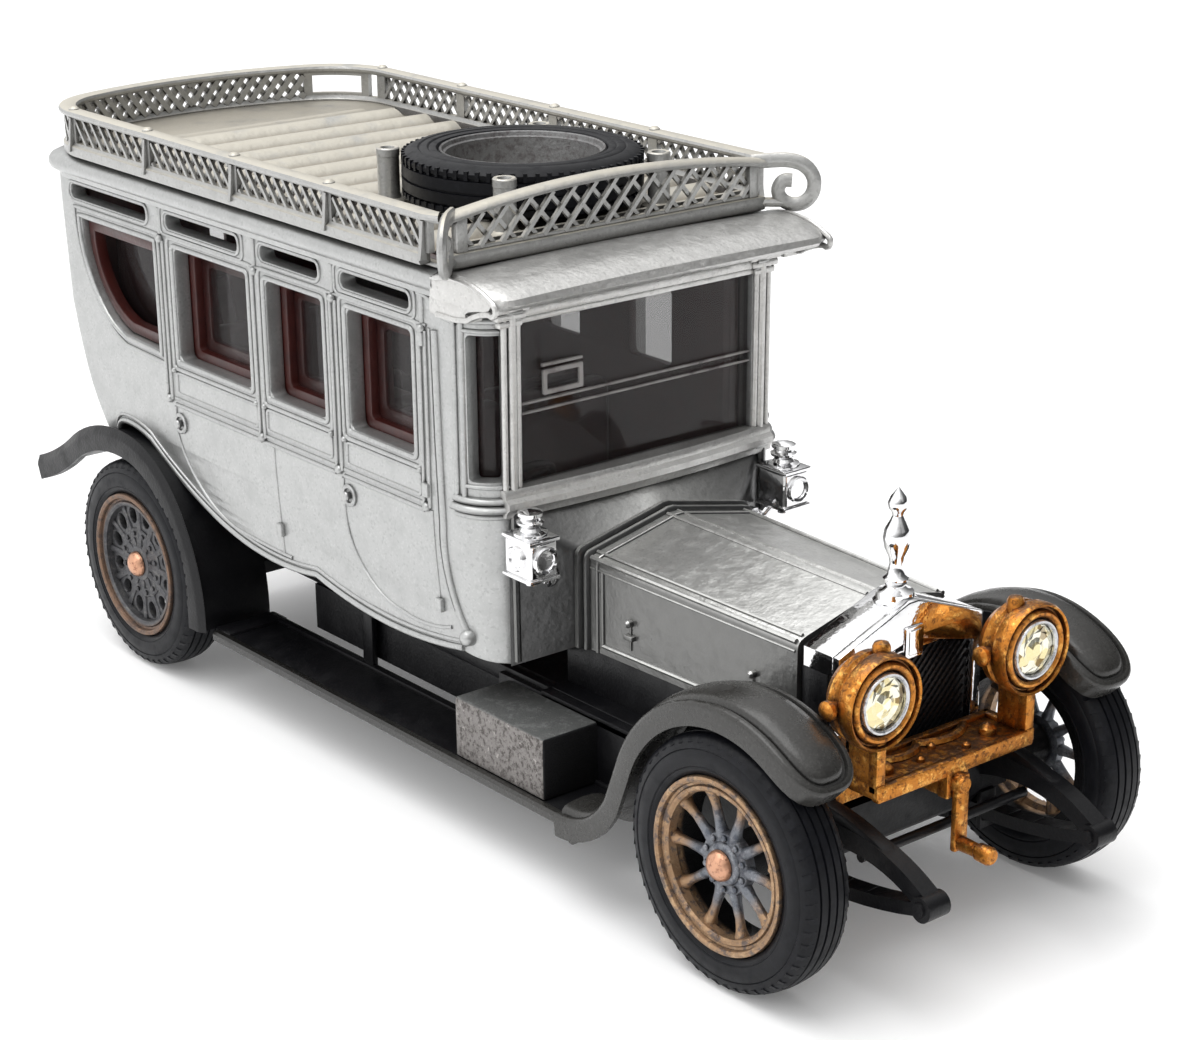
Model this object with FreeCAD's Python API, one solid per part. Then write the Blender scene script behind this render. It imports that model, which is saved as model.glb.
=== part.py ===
# A diecast collector car: a long six-window vintage limousine with a galleried
# roof rack, a spare tyre lying on the rack, spoked wheels and gilt headlamps.
#
# Frame: millimetres. The origin is on the ground, midway along and across the car.
# The car faces -Y, +X is its own left-hand side and +Z is up.
import FreeCAD
import Part
import math
import os

V = FreeCAD.Vector
os.makedirs("parts", exist_ok=True)

# ---------------------------------------------------------------- driving sizes
HALF_LENGTH = 59.0            # dumb-iron tip and mudguard tail, from the middle
FRONT_AXLE_Y = -44.8
REAR_AXLE_Y = 40.05

TYRE_R = 10.28                # also the height of both axles
RIM_R = 7.07
TYRE_IN_X = 13.9              # inner and outer faces of every tyre, from the middle
TYRE_OUT_X = 18.45
AXLE_R = 0.80
AXLE_END_X = 18.83            # tip of the domed axle head
BORE_GAP = 0.05               # running clearance, on the radius
SPOKES = 10

BODY_HALF_W = 16.3            # window plane of the coachwork
BODY_WALL = 1.1
BODY_FRONT_Y = -14.4
BODY_REAR_Y = 54.9
BODY_TOP_Z = 48.2
REAR_BOW = 1.33               # how far the middle of the tail stands out past its corners
REAR_CORNER_R = 2.0
CORNICE_HALF_W = 17.8
CORNICE_FRONT_Y = -18.65
WINDOW_LOW_Z = 32.0
WINDOW_TOP_Z = 42.6
LINER_REAR_Y = 44.0           # rear end of the maroon side liners
WINDOWS_Y = ((19.8, 32.1), (8.0, 16.8), (-5.0, 4.3))
VENTS_Y = ((35.9, 51.0), (20.3, 33.5), (8.0, 17.8), (-5.2, 5.4))

RACK_HALF_W = 17.4
RACK_FRONT_Y = -10.8
RACK_FLOOR_Z = 49.4
RACK_TOP_Z = 53.4
SCROLL_R = 2.4                # corner scrolls at the front of the rack
SCROLL_Z = 51.0

BONNET_REAR_Y = -16.4
BONNET_FRONT_Y = -42.2
BONNET_LOW_Z = 17.0
RADIATOR_FRONT_Y = -46.3
RADIATOR_HALF_W = 7.8
RADIATOR_LOW_Z = 13.2

LAMP_X = 8.1                  # headlamp centre line
LAMP_Z = 22.8
LAMP_R = 3.75
SHELF_FRONT_Y = -51.6         # gilt shelf that carries the headlamps
SHELF_HALF_W = 8.5
HANDLE_Z = 14.1               # starting handle shaft
HANDLE_R = 0.7
HANDLE_END_Y = -49.0
SIDE_LAMP_X = 13.8
SIDE_LAMP_Y = -17.1
SIDE_LAMP_Z = 24.4            # underside of the lamp case

WING_R = 12.7                 # outside of both mudguards, about the wheel centres
WING_T = 0.9
WING_IN_X = 12.1
APRON_IN_X = 10.0             # valance between the chassis rail and the running board
APRON_OUT_X = 10.6
BOARD_HALF_W = 17.4           # outer edge of the running boards
BOARD_TOP_Z = 6.8
BOARD_T = 1.2
FLOOR_Z = 11.8                # underside of the floor that joins the mudguards
FLOOR_T = 1.0
CHASSIS_LOW_Z = 7.4
REST_PAD_T = 0.4              # flat pad below the base plate, clear of springs and boards
OPEN_Y = (21.0, 36.5)         # open gap in the chassis ahead of the rear axle
SCREWS_Y = (-12.5, 45.0)
SCREW_R = 1.0
SCREW_HEAD_R = 1.9
RAIL_IN_X = 8.4
RAIL_OUT_X = 10.0

SPARE_Y = 1.0
SPARE_LOW_Z = 50.1


# ---------------------------------------------------------------- small helpers
def box(x0, x1, y0, y1, z0, z1):
    return Part.makeBox(x1 - x0, y1 - y0, z1 - z0, V(x0, y0, z0))


def rod(p0, p1, r, r1=None):
    """Round bar from p0 to p1; a second radius makes it a cone."""
    a = V(*p0)
    d = V(*p1) - a
    if r1 is None or abs(r1 - r) < 1e-6:
        return Part.makeCylinder(r, d.Length, a, d)
    return Part.makeCone(r, r1, d.Length, a, d)


def fuse(shapes):
    out = shapes[0].multiFuse(shapes[1:]) if len(shapes) > 1 else shapes[0]
    return out.removeSplitter()


def cut(shape, tools):
    return shape.cut(Part.Compound(tools))


def mirror_x(shape):
    return shape.mirror(V(0, 0, 0), V(1, 0, 0))


def both(shape):
    return [shape, mirror_x(shape)]


def prism_x(points, x0, x1):
    """Side outline given as (y, z) corners, extruded across the car."""
    ring = [V(x0, y, z) for y, z in points]
    ring.append(ring[0])
    return Part.Face(Part.makePolygon(ring)).extrude(V(x1 - x0, 0, 0))


def prism_y(points, y0, y1):
    """Front outline given as (x, z) corners, extruded along the car."""
    ring = [V(x, y0, z) for x, z in points]
    ring.append(ring[0])
    return Part.Face(Part.makePolygon(ring)).extrude(V(0, y1 - y0, 0))


def curve_x(path, x):
    """Edges in a side plane. Two-point entries are lines, three-point ones arcs."""
    edges = []
    for points in path:
        ring = [V(x, y, z) for y, z in points]
        if len(ring) == 2:
            edges.append(Part.makeLine(ring[0], ring[1]))
        else:
            edges.append(Part.Arc(ring[0], ring[1], ring[2]).toShape())
    return edges


def slab_x(path, x0, x1):
    """Closed side outline of lines and arcs, extruded across the car."""
    return Part.Face(Part.Wire(curve_x(path, x0))).extrude(V(x1 - x0, 0, 0))


def pocket_x(y0, y1, z0, z1, r, x0, x1):
    """Round-cornered opening seen from the side."""
    block = box(x0, x1, y0, y1, z0, z1)
    across = [e for e in block.Edges if abs(e.Vertexes[0].X - e.Vertexes[1].X) > 1e-6]
    return block.makeFillet(r, across)


def plan(half_w, front_y, rear_y, z0, z1, front_r=0.0, rear_r=None):
    """Solid on a plan outline, bowed at the rear; rear_r makes its rear corners tight."""
    if rear_r is None:
        side_end = rear_y - 9.0 * half_w / BODY_HALF_W
        mid = (0.93 * half_w, rear_y - 5.0)
        turn = (0.72 * half_w, rear_y - 2.1)
    else:
        side_end = rear_y - REAR_BOW - 0.985 * rear_r
        mid = (half_w - 0.234 * rear_r, side_end + 0.643 * rear_r)
        turn = (half_w - 0.826 * rear_r, side_end + 0.985 * rear_r)
    nose = max(front_r, 0.01)
    dx = nose * (1 - math.cos(math.radians(45)))
    half = [
        Part.makeLine(V(0, front_y, z0), V(half_w - nose, front_y, z0)),
        Part.Arc(V(half_w - nose, front_y, z0), V(half_w - dx, front_y + dx, z0),
                 V(half_w, front_y + nose, z0)).toShape(),
        Part.makeLine(V(half_w, front_y + nose, z0), V(half_w, side_end, z0)),
        Part.Arc(V(half_w, side_end, z0), V(mid[0], mid[1], z0),
                 V(turn[0], turn[1], z0)).toShape(),
    ]
    bow = Part.Arc(V(turn[0], turn[1], z0), V(0, rear_y, z0), V(-turn[0], turn[1], z0)).toShape()
    edges = half + [bow] + [mirror_x(edge) for edge in half]
    ordered = Part.Wire(Part.__sortEdges__(edges))
    return Part.Face(ordered).extrude(V(0, 0, z1 - z0))


def spin_x(profile, x_sign, y, z):
    """Turned ring about a wheel axis. The profile is (distance out, radius)."""
    ring = [V(x_sign * x, y, z + r) for x, r in profile]
    ring.append(ring[0])
    return Part.Face(Part.makePolygon(ring)).revolve(V(0, y, z), V(1, 0, 0), 360)


# ---------------------------------------------------------------- coachwork
def coach_side():
    """Side outline of the coachwork: carriage curve behind, double sweep below."""
    f = BODY_FRONT_Y
    t = BODY_TOP_Z
    return [
        ((f, 16.2), (f, t)),
        ((f, t), (BODY_REAR_Y, t)),
        ((BODY_REAR_Y, t), (54.3, 34.0)),
        ((54.3, 34.0), (53.0, 27.3), (48.9, 21.4)),
        ((48.9, 21.4), (44.0, 23.3), (38.6, 22.6)),
        ((38.6, 22.6), (33.5, 19.7), (27.0, 17.2)),
        ((27.0, 17.2), (19.5, 16.0), (11.4, 16.5)),
        ((11.4, 16.5), (1.0, 15.2), (-10.4, 16.8)),
        ((-10.4, 16.8), (f, 16.2)),
    ]


def coach_hollow():
    """Inside of the coachwork, open above and below."""
    w = BODY_WALL
    side = [
        ((BODY_FRONT_Y + w, 0), (BODY_FRONT_Y + w, 60)),
        ((BODY_FRONT_Y + w, 60), (BODY_REAR_Y - w, 60)),
        ((BODY_REAR_Y - w, 60), (BODY_REAR_Y - w, BODY_TOP_Z)),
        ((BODY_REAR_Y - w, BODY_TOP_Z), (54.3 - w, 34.0)),
        ((54.3 - w, 34.0), (53.0 - w, 27.3), (48.9 - w, 21.0)),
        ((48.9 - w, 21.0), (48.9 - w, 0)),
        ((48.9 - w, 0), (BODY_FRONT_Y + w, 0)),
    ]
    inner = plan(BODY_HALF_W - w, BODY_FRONT_Y + w, BODY_REAR_Y - w, 0, 60, 2.6, REAR_CORNER_R)
    return slab_x(side, -20, 20).common(inner)


def rear_quarter_light():
    """D-shaped window whose rear lower corner follows the carriage curve."""
    path = [
        ((35.6, WINDOW_LOW_Z + 0.4), (35.6, WINDOW_TOP_Z)),
        ((35.6, WINDOW_TOP_Z), (48.7, WINDOW_TOP_Z)),
        ((48.7, WINDOW_TOP_Z), (46.4, 34.9), (40.6, WINDOW_LOW_Z + 0.4)),
        ((40.6, WINDOW_LOW_Z + 0.4), (35.6, WINDOW_LOW_Z + 0.4)),
    ]
    return slab_x(path, -20, 20)


def coach_block():
    """Outside of the coachwork as one solid block, before it is hollowed."""
    turn_under = [
        (-15.8, 15), (15.8, 15), (BODY_HALF_W, 27), (BODY_HALF_W, 49),
        (-BODY_HALF_W, 49), (-BODY_HALF_W, 27),
    ]
    outer = slab_x(coach_side(), -BODY_HALF_W, BODY_HALF_W)
    outer = outer.common(plan(BODY_HALF_W, BODY_FRONT_Y, BODY_REAR_Y, 10, 60, 3.6,
                              REAR_CORNER_R))
    return outer.common(prism_y(turn_under, -20, 60))


def body_shell():
    """Silver coachwork: walls, cornice and canopy, with every window cut through."""
    outer = coach_block()
    cornice = plan(CORNICE_HALF_W, CORNICE_FRONT_Y, BODY_REAR_Y + 1.3, 46.4, BODY_TOP_Z, 1.2,
                   REAR_CORNER_R + 1.3)
    canopy = prism_x([(CORNICE_FRONT_Y + 0.6, BODY_TOP_Z), (RACK_FRONT_Y - 0.8, 50.0),
                      (RACK_FRONT_Y - 0.3, BODY_TOP_Z)], -16.4, 16.4)
    shell = fuse([outer, cornice, canopy])
    roof_light = plan(BODY_HALF_W - BODY_WALL, RACK_FRONT_Y + 0.6, BODY_REAR_Y - BODY_WALL,
                      45, 60, 2.0, REAR_CORNER_R)
    tools = [coach_hollow().common(box(-20, 20, -20, 60, 0, 46.4)), roof_light]
    tools.append(rear_quarter_light())
    for y0, y1 in WINDOWS_Y:
        tools.append(pocket_x(y0, y1, WINDOW_LOW_Z, WINDOW_TOP_Z, 0.6, -20, 20))
    for y0, y1 in VENTS_Y:
        slot = pocket_x(y0, y1, 44.3, 45.5, 0.55, BODY_HALF_W - 0.6, 20)
        tools += both(slot)
    # windscreen, corner lights beside it and the small rear light
    tools.append(box(-12.7, 12.7, BODY_FRONT_Y - 1, BODY_FRONT_Y + 2, 30.9, 45.4))
    corner = box(13.9, 18, BODY_FRONT_Y + 1.5, BODY_FRONT_Y + 4.6, 31.5, 43.4)
    tools += both(corner)
    tools.append(box(-6.5, 6.5, BODY_REAR_Y - 4, BODY_REAR_Y + 2, 34.0, 42.0))
    shell = cut(shell, tools)
    trim = []
    for y, z in ((32.7, 25.8), (5.0, 25.9)):
        trim += both(rod((BODY_HALF_W - 0.3, y, z), (BODY_HALF_W + 0.7, y, z), 0.75))
    peg = rod((15.7, -11.2, 17.6), (17.0, -11.2, 17.6), 0.8)
    trim += both(peg)
    waist = box(BODY_HALF_W - 0.3, BODY_HALF_W + 0.3, -9.5, 44.0, 27.9, 28.7)
    trim += both(waist)
    sill = box(-13.4, 13.4, BODY_FRONT_Y - 0.5, BODY_FRONT_Y + 0.3, 29.3, 30.4)
    trim.append(sill)
    return fuse([shell] + trim)


# ---------------------------------------------------------------- roof rack
def along_gallery(half_w, rear_y):
    """Places (x, y, outward angle) for the lattice openings round the gallery."""
    places = []
    pitch = 1.82
    y = RACK_FRONT_Y + 2.2
    while y < rear_y - 10.2:
        places.append((half_w, y, 0.0))
        places.append((-half_w, y, 180.0))
        y += pitch
    return places


def lattice_cutter(x, y, angle, z):
    """Diamond punch pointing outwards through the gallery wall."""
    r = 0.78
    ring = [V(-2, -r, 0), V(-2, 0, -r * 1.25), V(-2, r, 0), V(-2, 0, r * 1.25), V(-2, -r, 0)]
    punch = Part.Face(Part.makePolygon(ring)).extrude(V(4, 0, 0))
    punch.rotate(V(0, 0, 0), V(0, 0, 1), angle)
    punch.translate(V(x, y, z))
    return punch


def scroll(side):
    """Upright C-scroll plate on a front corner, set at forty-five degrees."""
    t = 0.4
    r = SCROLL_R
    x = 0.6 + r
    z = SCROLL_Z
    hook = Part.makeCylinder(r, 2 * t, V(x, -t, z), V(0, 1, 0))
    eye = Part.makeCylinder(0.45 * r, 2 * t + 2, V(x - 0.2, -t - 1, z), V(0, 1, 0))
    mouth = box(x - r - 1, x - 0.2, -t - 1, t + 1, z - 0.45 * r, z + 0.45 * r)
    arm = box(-0.6, x, -t, t, z + 0.55 * r, z + r)
    foot = box(0.6, x, -t, t, 48.9, z - 0.6 * r)
    plate = fuse([hook, arm, foot]).cut(eye).cut(mouth)
    plate.rotate(V(0, 0, 0), V(0, 0, 1), -45)
    plate.translate(V(16.2, RACK_FRONT_Y - 0.2, 0))
    return plate if side > 0 else mirror_x(plate)


def roof_rack():
    """Roof panel with cross slats, lattice gallery, posts and corner scrolls."""
    rear = BODY_REAR_Y + 1.0
    floor = plan(RACK_HALF_W - 0.3, RACK_FRONT_Y + 0.1, rear - 0.3, BODY_TOP_Z, RACK_FLOOR_Z, 1.0)
    wall = plan(RACK_HALF_W + 0.35, RACK_FRONT_Y - 0.35, rear + 0.35, 49.0, 52.9, 1.2)
    hollow = plan(RACK_HALF_W - 0.35, RACK_FRONT_Y + 0.35, rear - 0.35, RACK_FLOOR_Z, 60, 0.8)
    rail = plan(RACK_HALF_W + 0.6, RACK_FRONT_Y - 0.6, rear + 0.6, 52.6, RACK_TOP_Z, 1.4)
    rail_hole = plan(RACK_HALF_W - 0.6, RACK_FRONT_Y + 0.6, rear - 0.6, 52.0, 60, 0.6)
    punches = []
    for x, y, angle in along_gallery(RACK_HALF_W, rear):
        punches.append(lattice_cutter(x, y, angle, 51.2))
    for i in range(-7, 8):
        punches.append(lattice_cutter(i * 1.95, RACK_FRONT_Y, 90, 51.2))
    for i in range(2, 6):
        for s in (-1, 1):
            x = s * i * 1.95
            punches.append(lattice_cutter(x, rear - 0.012 * x * x, 90 - s * i * 3, 51.2))
    opening = box(-2.6, 2.6, rear - 3, rear + 3, 50.1, 52.2)
    wall = cut(wall, [hollow])
    wall = cut(wall, punches + [opening])
    pieces = [floor, wall, rail.cut(rail_hole)]
    slat_y = RACK_FRONT_Y + 4.0
    while slat_y < rear - 6:
        pieces.append(box(-15.6, 15.6, slat_y, slat_y + 2.4, RACK_FLOOR_Z - 0.2, 50.1))
        slat_y += 4.6
    arch = Part.Arc(V(-16.4, 0, 53.0), V(0, 0, 54.6), V(16.4, 0, 53.0)).toShape()
    close = Part.makeLine(V(16.4, 0, 53.0), V(-16.4, 0, 53.0))
    front = Part.Face(Part.Wire([arch, close])).extrude(V(0, 1.0, 0))
    front.translate(V(0, RACK_FRONT_Y - 0.5, 0))
    pieces.append(front)
    for y in (33.2, 18.5, 4.3):
        pieces += both(Part.makeSphere(0.55, V(RACK_HALF_W, y, RACK_TOP_Z)))
    for a in (45, 135, 225, 315):
        x = (TYRE_R + 1.25) * math.cos(math.radians(a))
        y = SPARE_Y + (TYRE_R + 1.25) * math.sin(math.radians(a))
        pieces.append(rod((x, y, RACK_FLOOR_Z - 0.2), (x, y, 54.2), 0.95))
    pieces.append(scroll(1))
    pieces.append(scroll(-1))
    return fuse(pieces)


def ring_z(inner, outer, z0, z1, chamfer):
    """Ring lying flat on the rack, with softened outer corners."""
    c = chamfer
    profile = [(inner, z0), (outer - c, z0), (outer, z0 + c), (outer, z1 - c), (outer - c, z1),
               (inner, z1)]
    ring = [V(r, SPARE_Y, z) for r, z in profile]
    ring.append(ring[0])
    return Part.Face(Part.makePolygon(ring)).revolve(V(0, SPARE_Y, 0), V(0, 0, 1), 360)


def spare_tyre():
    return ring_z(RIM_R, TYRE_R, SPARE_LOW_Z, SPARE_LOW_Z + 4.5, 0.8)


def spare_tyre_ring():
    """Grey ring pressed into the spare tyre."""
    return ring_z(5.9, RIM_R, SPARE_LOW_Z + 0.3, SPARE_LOW_Z + 4.0, 0.0001)


# ---------------------------------------------------------------- inside the coachwork
def glazing():
    """One clear moulding: both side panes, the windscreen and the rear pane."""
    out = BODY_WALL
    t = 0.55
    outer = plan(BODY_HALF_W - out, BODY_FRONT_Y + out, BODY_REAR_Y - 2.1, 31.0, 46.2, 2.6,
                 REAR_CORNER_R)
    inner = plan(BODY_HALF_W - out - t, BODY_FRONT_Y + out + t, BODY_REAR_Y - 2.1 - t, 30, 47, 2.1,
                 REAR_CORNER_R - t)
    return outer.cut(inner)


def interior_tub():
    """Maroon inner moulding: floor, side liners with window frames, benches, dash."""
    half = BODY_HALF_W - BODY_WALL - 0.6
    low = FLOOR_Z + FLOOR_T
    floor = box(-13.6, 13.6, BODY_FRONT_Y + 2.0, 47.0, low, low + 1.2)
    pieces = [floor]
    liner = box(half - 0.9, half, BODY_FRONT_Y + 4.6, LINER_REAR_Y, 24.0, 44.6)
    frames = []
    for y0, y1 in WINDOWS_Y:
        frames.append(pocket_x(y0 + 0.9, y1 - 0.9, WINDOW_LOW_Z + 1.0, WINDOW_TOP_Z - 0.6,
                               0.5, 10, 20))
    frames.append(rear_quarter_light().common(box(0, 20, 36.6, 44.6, 33.0, 42.0)))
    liner = cut(liner, frames)
    lower = box(half - 1.9, half - 0.9, BODY_FRONT_Y + 4.6, LINER_REAR_Y, low, 25.0)
    step = box(half - 1.9, half, BODY_FRONT_Y + 4.6, LINER_REAR_Y, 23.6, 25.0)
    for piece in (liner, lower, step):
        pieces += both(piece)
    for y, depth in ((-1.0, 8.0), (34.5, 9.0)):
        seat = box(-12.4, 12.4, y, y + depth, low + 1.0, 22.0)
        back = box(-12.4, 12.4, y + depth - 2.2, y + depth, low + 1.0, 32.0)
        pieces += [seat, back]
    pieces.append(box(-12.6, 12.6, 8.6, 9.8, low + 1.0, 31.0))
    pieces.append(box(-12.6, 12.6, BODY_FRONT_Y + 2.0, BODY_FRONT_Y + 3.4, low + 1.0, 29.0))
    wheelhouse = rod((9.4, REAR_AXLE_Y, TYRE_R), (20, REAR_AXLE_Y, TYRE_R), WING_R + 0.2)
    return cut(fuse(pieces), both(wheelhouse))


def steering_wheel():
    """Four-spoke wheel on a raked column that starts at the dash."""
    rim = Part.makeTorus(3.1, 0.35, V(0, 0, 0), V(0, 0, 1))
    hub = Part.makeCylinder(0.8, 0.8, V(0, 0, -0.4))
    pieces = [rim, hub]
    for a in range(4):
        turn = math.radians(90 * a + 45)
        tip = (3.1 * math.cos(turn), 3.1 * math.sin(turn), 0)
        pieces.append(rod((0, 0, 0), tip, 0.22))
    pieces.append(rod((0, 0, 0), (0, 0, -5.25), 0.4))
    wheel = fuse(pieces)
    wheel.rotate(V(0, 0, 0), V(1, 0, 0), -50)
    wheel.translate(V(-6.6, -6.4, 27.6))
    keep_clear = box(-20, 20, -20, BODY_FRONT_Y + 3.4, 0, 60)
    return wheel.cut(keep_clear)


# ---------------------------------------------------------------- bonnet and radiator
def house(half_w, low, shoulder, ridge, y):
    """Pitched cross-section: upright sides under two facets meeting at a ridge."""
    ring = [V(-half_w, y, low), V(half_w, y, low), V(half_w, y, shoulder), V(0, y, ridge),
            V(-half_w, y, shoulder), V(-half_w, y, low)]
    return Part.makePolygon(ring)


def bonnet_scuttle():
    """Bonnet flaring through the scuttle to meet the front of the coachwork."""
    bonnet = Part.makeLoft([
        house(8.0, BONNET_LOW_Z, 24.8, 26.8, BONNET_FRONT_Y),
        house(8.8, BONNET_LOW_Z, 25.2, 27.1, BONNET_REAR_Y - 0.8),
    ], True, True)
    flare = Part.makeLoft([
        house(8.8, BONNET_LOW_Z - 0.3, 25.2, 27.1, BONNET_REAR_Y - 0.8),
        house(13.4, 15.2, 28.2, 29.2, BODY_FRONT_Y),
    ], True, True)
    bead = Part.makeLoft([
        house(9.1, BONNET_LOW_Z, 25.5, 27.4, BONNET_REAR_Y - 1.5),
        house(9.1, BONNET_LOW_Z, 25.5, 27.4, BONNET_REAR_Y - 0.7),
    ], True, True)
    hinge = rod((0, BONNET_FRONT_Y + 0.2, 26.8), (0, BONNET_REAR_Y - 0.8, 27.1), 0.35)
    latches = []
    for y in (-22.0, -37.5):
        latches += both(box(8.0, 9.2, y - 0.5, y + 0.5, 19.0, 20.4))
    casting = fuse([bonnet, flare, bead, hinge] + latches)
    clip = box(-30, 30, -60, BODY_FRONT_Y - 0.5, 29.2, 32)
    sill_room = box(-14, 14, BODY_FRONT_Y - 0.55, BODY_FRONT_Y + 1, 28.9, 32)
    return cut(casting, [clip, sill_room])


def radiator_grille():
    """Black core: its sides stay bare, its front carries a diagonal mesh."""
    core = prism_y([(-7.3, RADIATOR_LOW_Z), (7.3, RADIATOR_LOW_Z), (7.3, 23.2),
                    (-7.3, 23.2)], RADIATOR_FRONT_Y + 0.7, BONNET_FRONT_Y)
    grooves = []
    for i in range(-9, 10):
        for s in (-1, 1):
            bar = box(-0.14, 0.14, RADIATOR_FRONT_Y + 0.4, RADIATOR_FRONT_Y + 0.95, -14, 14)
            bar.rotate(V(0, 0, 0), V(0, 1, 0), 45 * s)
            bar.translate(V(i * 1.5, 0, 18.2))
            grooves.append(bar)
    return cut(core, grooves)


def radiator_shell():
    """Bright shell: peaked header above, thin strips down both front edges."""
    w = RADIATOR_HALF_W
    outline = [(-w, RADIATOR_LOW_Z), (w, RADIATOR_LOW_Z), (w, 24.6), (0, 27.4), (-w, 24.6)]
    block = prism_y(outline, RADIATOR_FRONT_Y, BONNET_FRONT_Y)
    core_room = box(-7.3, 7.3, RADIATOR_FRONT_Y + 0.7, BONNET_FRONT_Y + 1, 0, 23.2)
    mouth = prism_y([(-6.7, 0), (6.7, 0), (6.7, 22.4), (0, 24.0), (-6.7, 22.4)],
                    RADIATOR_FRONT_Y - 1, RADIATOR_FRONT_Y + 0.7)
    flanks = both(box(7.3, 9, RADIATOR_FRONT_Y + 0.9, BONNET_FRONT_Y + 1, 0, 23.2))
    plate = prism_y([(-0.9, 22.9), (0.9, 22.9), (0.9, 25.2), (-0.9, 25.2)],
                    RADIATOR_FRONT_Y - 0.15, RADIATOR_FRONT_Y + 0.1)
    return fuse([cut(block, [core_room, mouth] + flanks), plate])


def turned(profile, x, y, z):
    """Upright turning from (radius, height) steps."""
    ring = [V(r, 0, h) for r, h in profile]
    ring = [V(0, 0, profile[0][1])] + ring + [V(0, 0, profile[-1][1])]
    ring.append(ring[0])
    shape = Part.Face(Part.makePolygon(ring)).revolve(V(0, 0, 0), V(0, 0, 1), 360)
    shape.translate(V(x, y, z))
    return shape


def radiator_cap():
    """Plain turned finial on the filler cap."""
    profile = [(1.5, 0), (1.5, 0.9), (1.1, 1.3), (0.6, 1.8), (0.6, 3.6), (1.0, 4.4), (1.15, 5.3),
               (0.9, 6.3), (0.45, 7.0), (0.45, 7.8), (0.7, 8.3), (0.1, 9.2)]
    cap = turned(profile, 0, -44.4, 26.6)
    clear = prism_y([(-5, 20), (5, 20), (5, 27.4 - 5 * 2.8 / 7.8), (0, 27.4),
                     (-5, 27.4 - 5 * 2.8 / 7.8)], -47, -42.2)
    behind = prism_y([(-5, 20), (5, 20), (5, 27.4), (-5, 27.4)], -42.3, -40)
    return cut(cap, [clear, behind])


# ---------------------------------------------------------------- lamps
def headlamp_bracket():
    """Gilt shelf below the radiator with an upright arm behind each headlamp."""
    w = SHELF_HALF_W
    shelf = box(-w, w, SHELF_FRONT_Y, RADIATOR_FRONT_Y, 15.2, 16.0)
    front = box(-w, w, SHELF_FRONT_Y, SHELF_FRONT_Y + 0.8, 14.7, 16.1)
    back = box(-w, w, RADIATOR_FRONT_Y - 0.8, RADIATOR_FRONT_Y, 13.0, 15.3)
    arm = box(LAMP_X - 0.9, LAMP_X + 0.9, -50.4, -48.4, 15.8, LAMP_Z - LAMP_R + 0.4)
    boss = box(-1.1, 1.1, SHELF_FRONT_Y, RADIATOR_FRONT_Y, 12.9, 15.3)
    crank_hole = rod((0, SHELF_FRONT_Y - 1, HANDLE_Z), (0, HANDLE_END_Y, HANDLE_Z), HANDLE_R)
    lamp_room = rod((LAMP_X, -55, LAMP_Z), (LAMP_X, -40, LAMP_Z), LAMP_R)
    pieces = [shelf, front, back, boss] + both(arm.cut(lamp_room))
    return cut(fuse(pieces), [crank_hole])


def headlamp_shell(side):
    """Stepped drum, open in front, with a trunnion knob on each side."""
    y = -51.4
    profile = [(0, LAMP_R), (0.9, LAMP_R), (1.1, LAMP_R - 0.35), (2.4, LAMP_R - 0.35),
               (3.6, LAMP_R - 1.4), (4.6, 1.2), (4.9, 0)]
    ring = [V(0, d, r) for d, r in profile]
    ring = [V(0, 0, 0)] + ring + [V(0, 0, 0)]
    drum = Part.Face(Part.makePolygon(ring)).revolve(V(0, 0, 0), V(0, 1, 0), 360)
    well = Part.makeCylinder(2.95, 1.3, V(0, -0.01, 0), V(0, 1, 0))
    knobs = fuse([rod((-LAMP_R - 0.75, 1.6, 0), (-LAMP_R + 0.6, 1.6, 0), 0.6),
                  rod((LAMP_R - 0.6, 1.6, 0), (LAMP_R + 0.75, 1.6, 0), 0.6)])
    shell = fuse([drum, knobs]).cut(well)
    shell.translate(V(side * LAMP_X, y, LAMP_Z))
    return shell


def headlamp_ring(side):
    """Silver bezel seated in the drum."""
    outer = rod((side * LAMP_X, -52.0, LAMP_Z), (side * LAMP_X, -50.11, LAMP_Z), 2.95)
    inner = rod((side * LAMP_X, -53.0, LAMP_Z), (side * LAMP_X, -50.7, LAMP_Z), 2.35)
    return outer.cut(inner)


def headlamp_jewel(side):
    """Faceted crystal disc inside the bezel."""
    facets = 12
    ring = []
    for i in range(facets + 1):
        a = 2 * math.pi * i / facets
        ring.append(V(2.32 * math.cos(a), 0, 2.32 * math.sin(a)))
    crown = []
    for i in range(facets + 1):
        a = 2 * math.pi * (i + 0.5) / facets
        crown.append(V(1.1 * math.cos(a), -0.75, 1.1 * math.sin(a)))
    base = Part.Face(Part.makePolygon(ring)).extrude(V(0, -0.8, 0))
    top = Part.makeLoft([Part.makePolygon([V(p.x, -0.8, p.z) for p in ring]),
                         Part.makePolygon([V(p.x, -1.45, p.z) for p in crown])], True, True)
    jewel = fuse([base, top])
    jewel.translate(V(side * LAMP_X, -50.7, LAMP_Z))
    return jewel


def starting_handle():
    """Cranked handle hanging from the boss under the shelf."""
    r = HANDLE_R
    drop = HANDLE_Z - 4.9
    shaft = rod((0, SHELF_FRONT_Y - 0.6, HANDLE_Z), (0, HANDLE_END_Y, HANDLE_Z), r)
    web = box(-r, r, SHELF_FRONT_Y - 0.7, SHELF_FRONT_Y - 0.05, drop - 0.6, HANDLE_Z + r)
    grip = rod((0, SHELF_FRONT_Y - 0.3, drop), (0, SHELF_FRONT_Y - 4.0, drop), 0.6)
    return fuse([shaft, web, grip])


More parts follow.
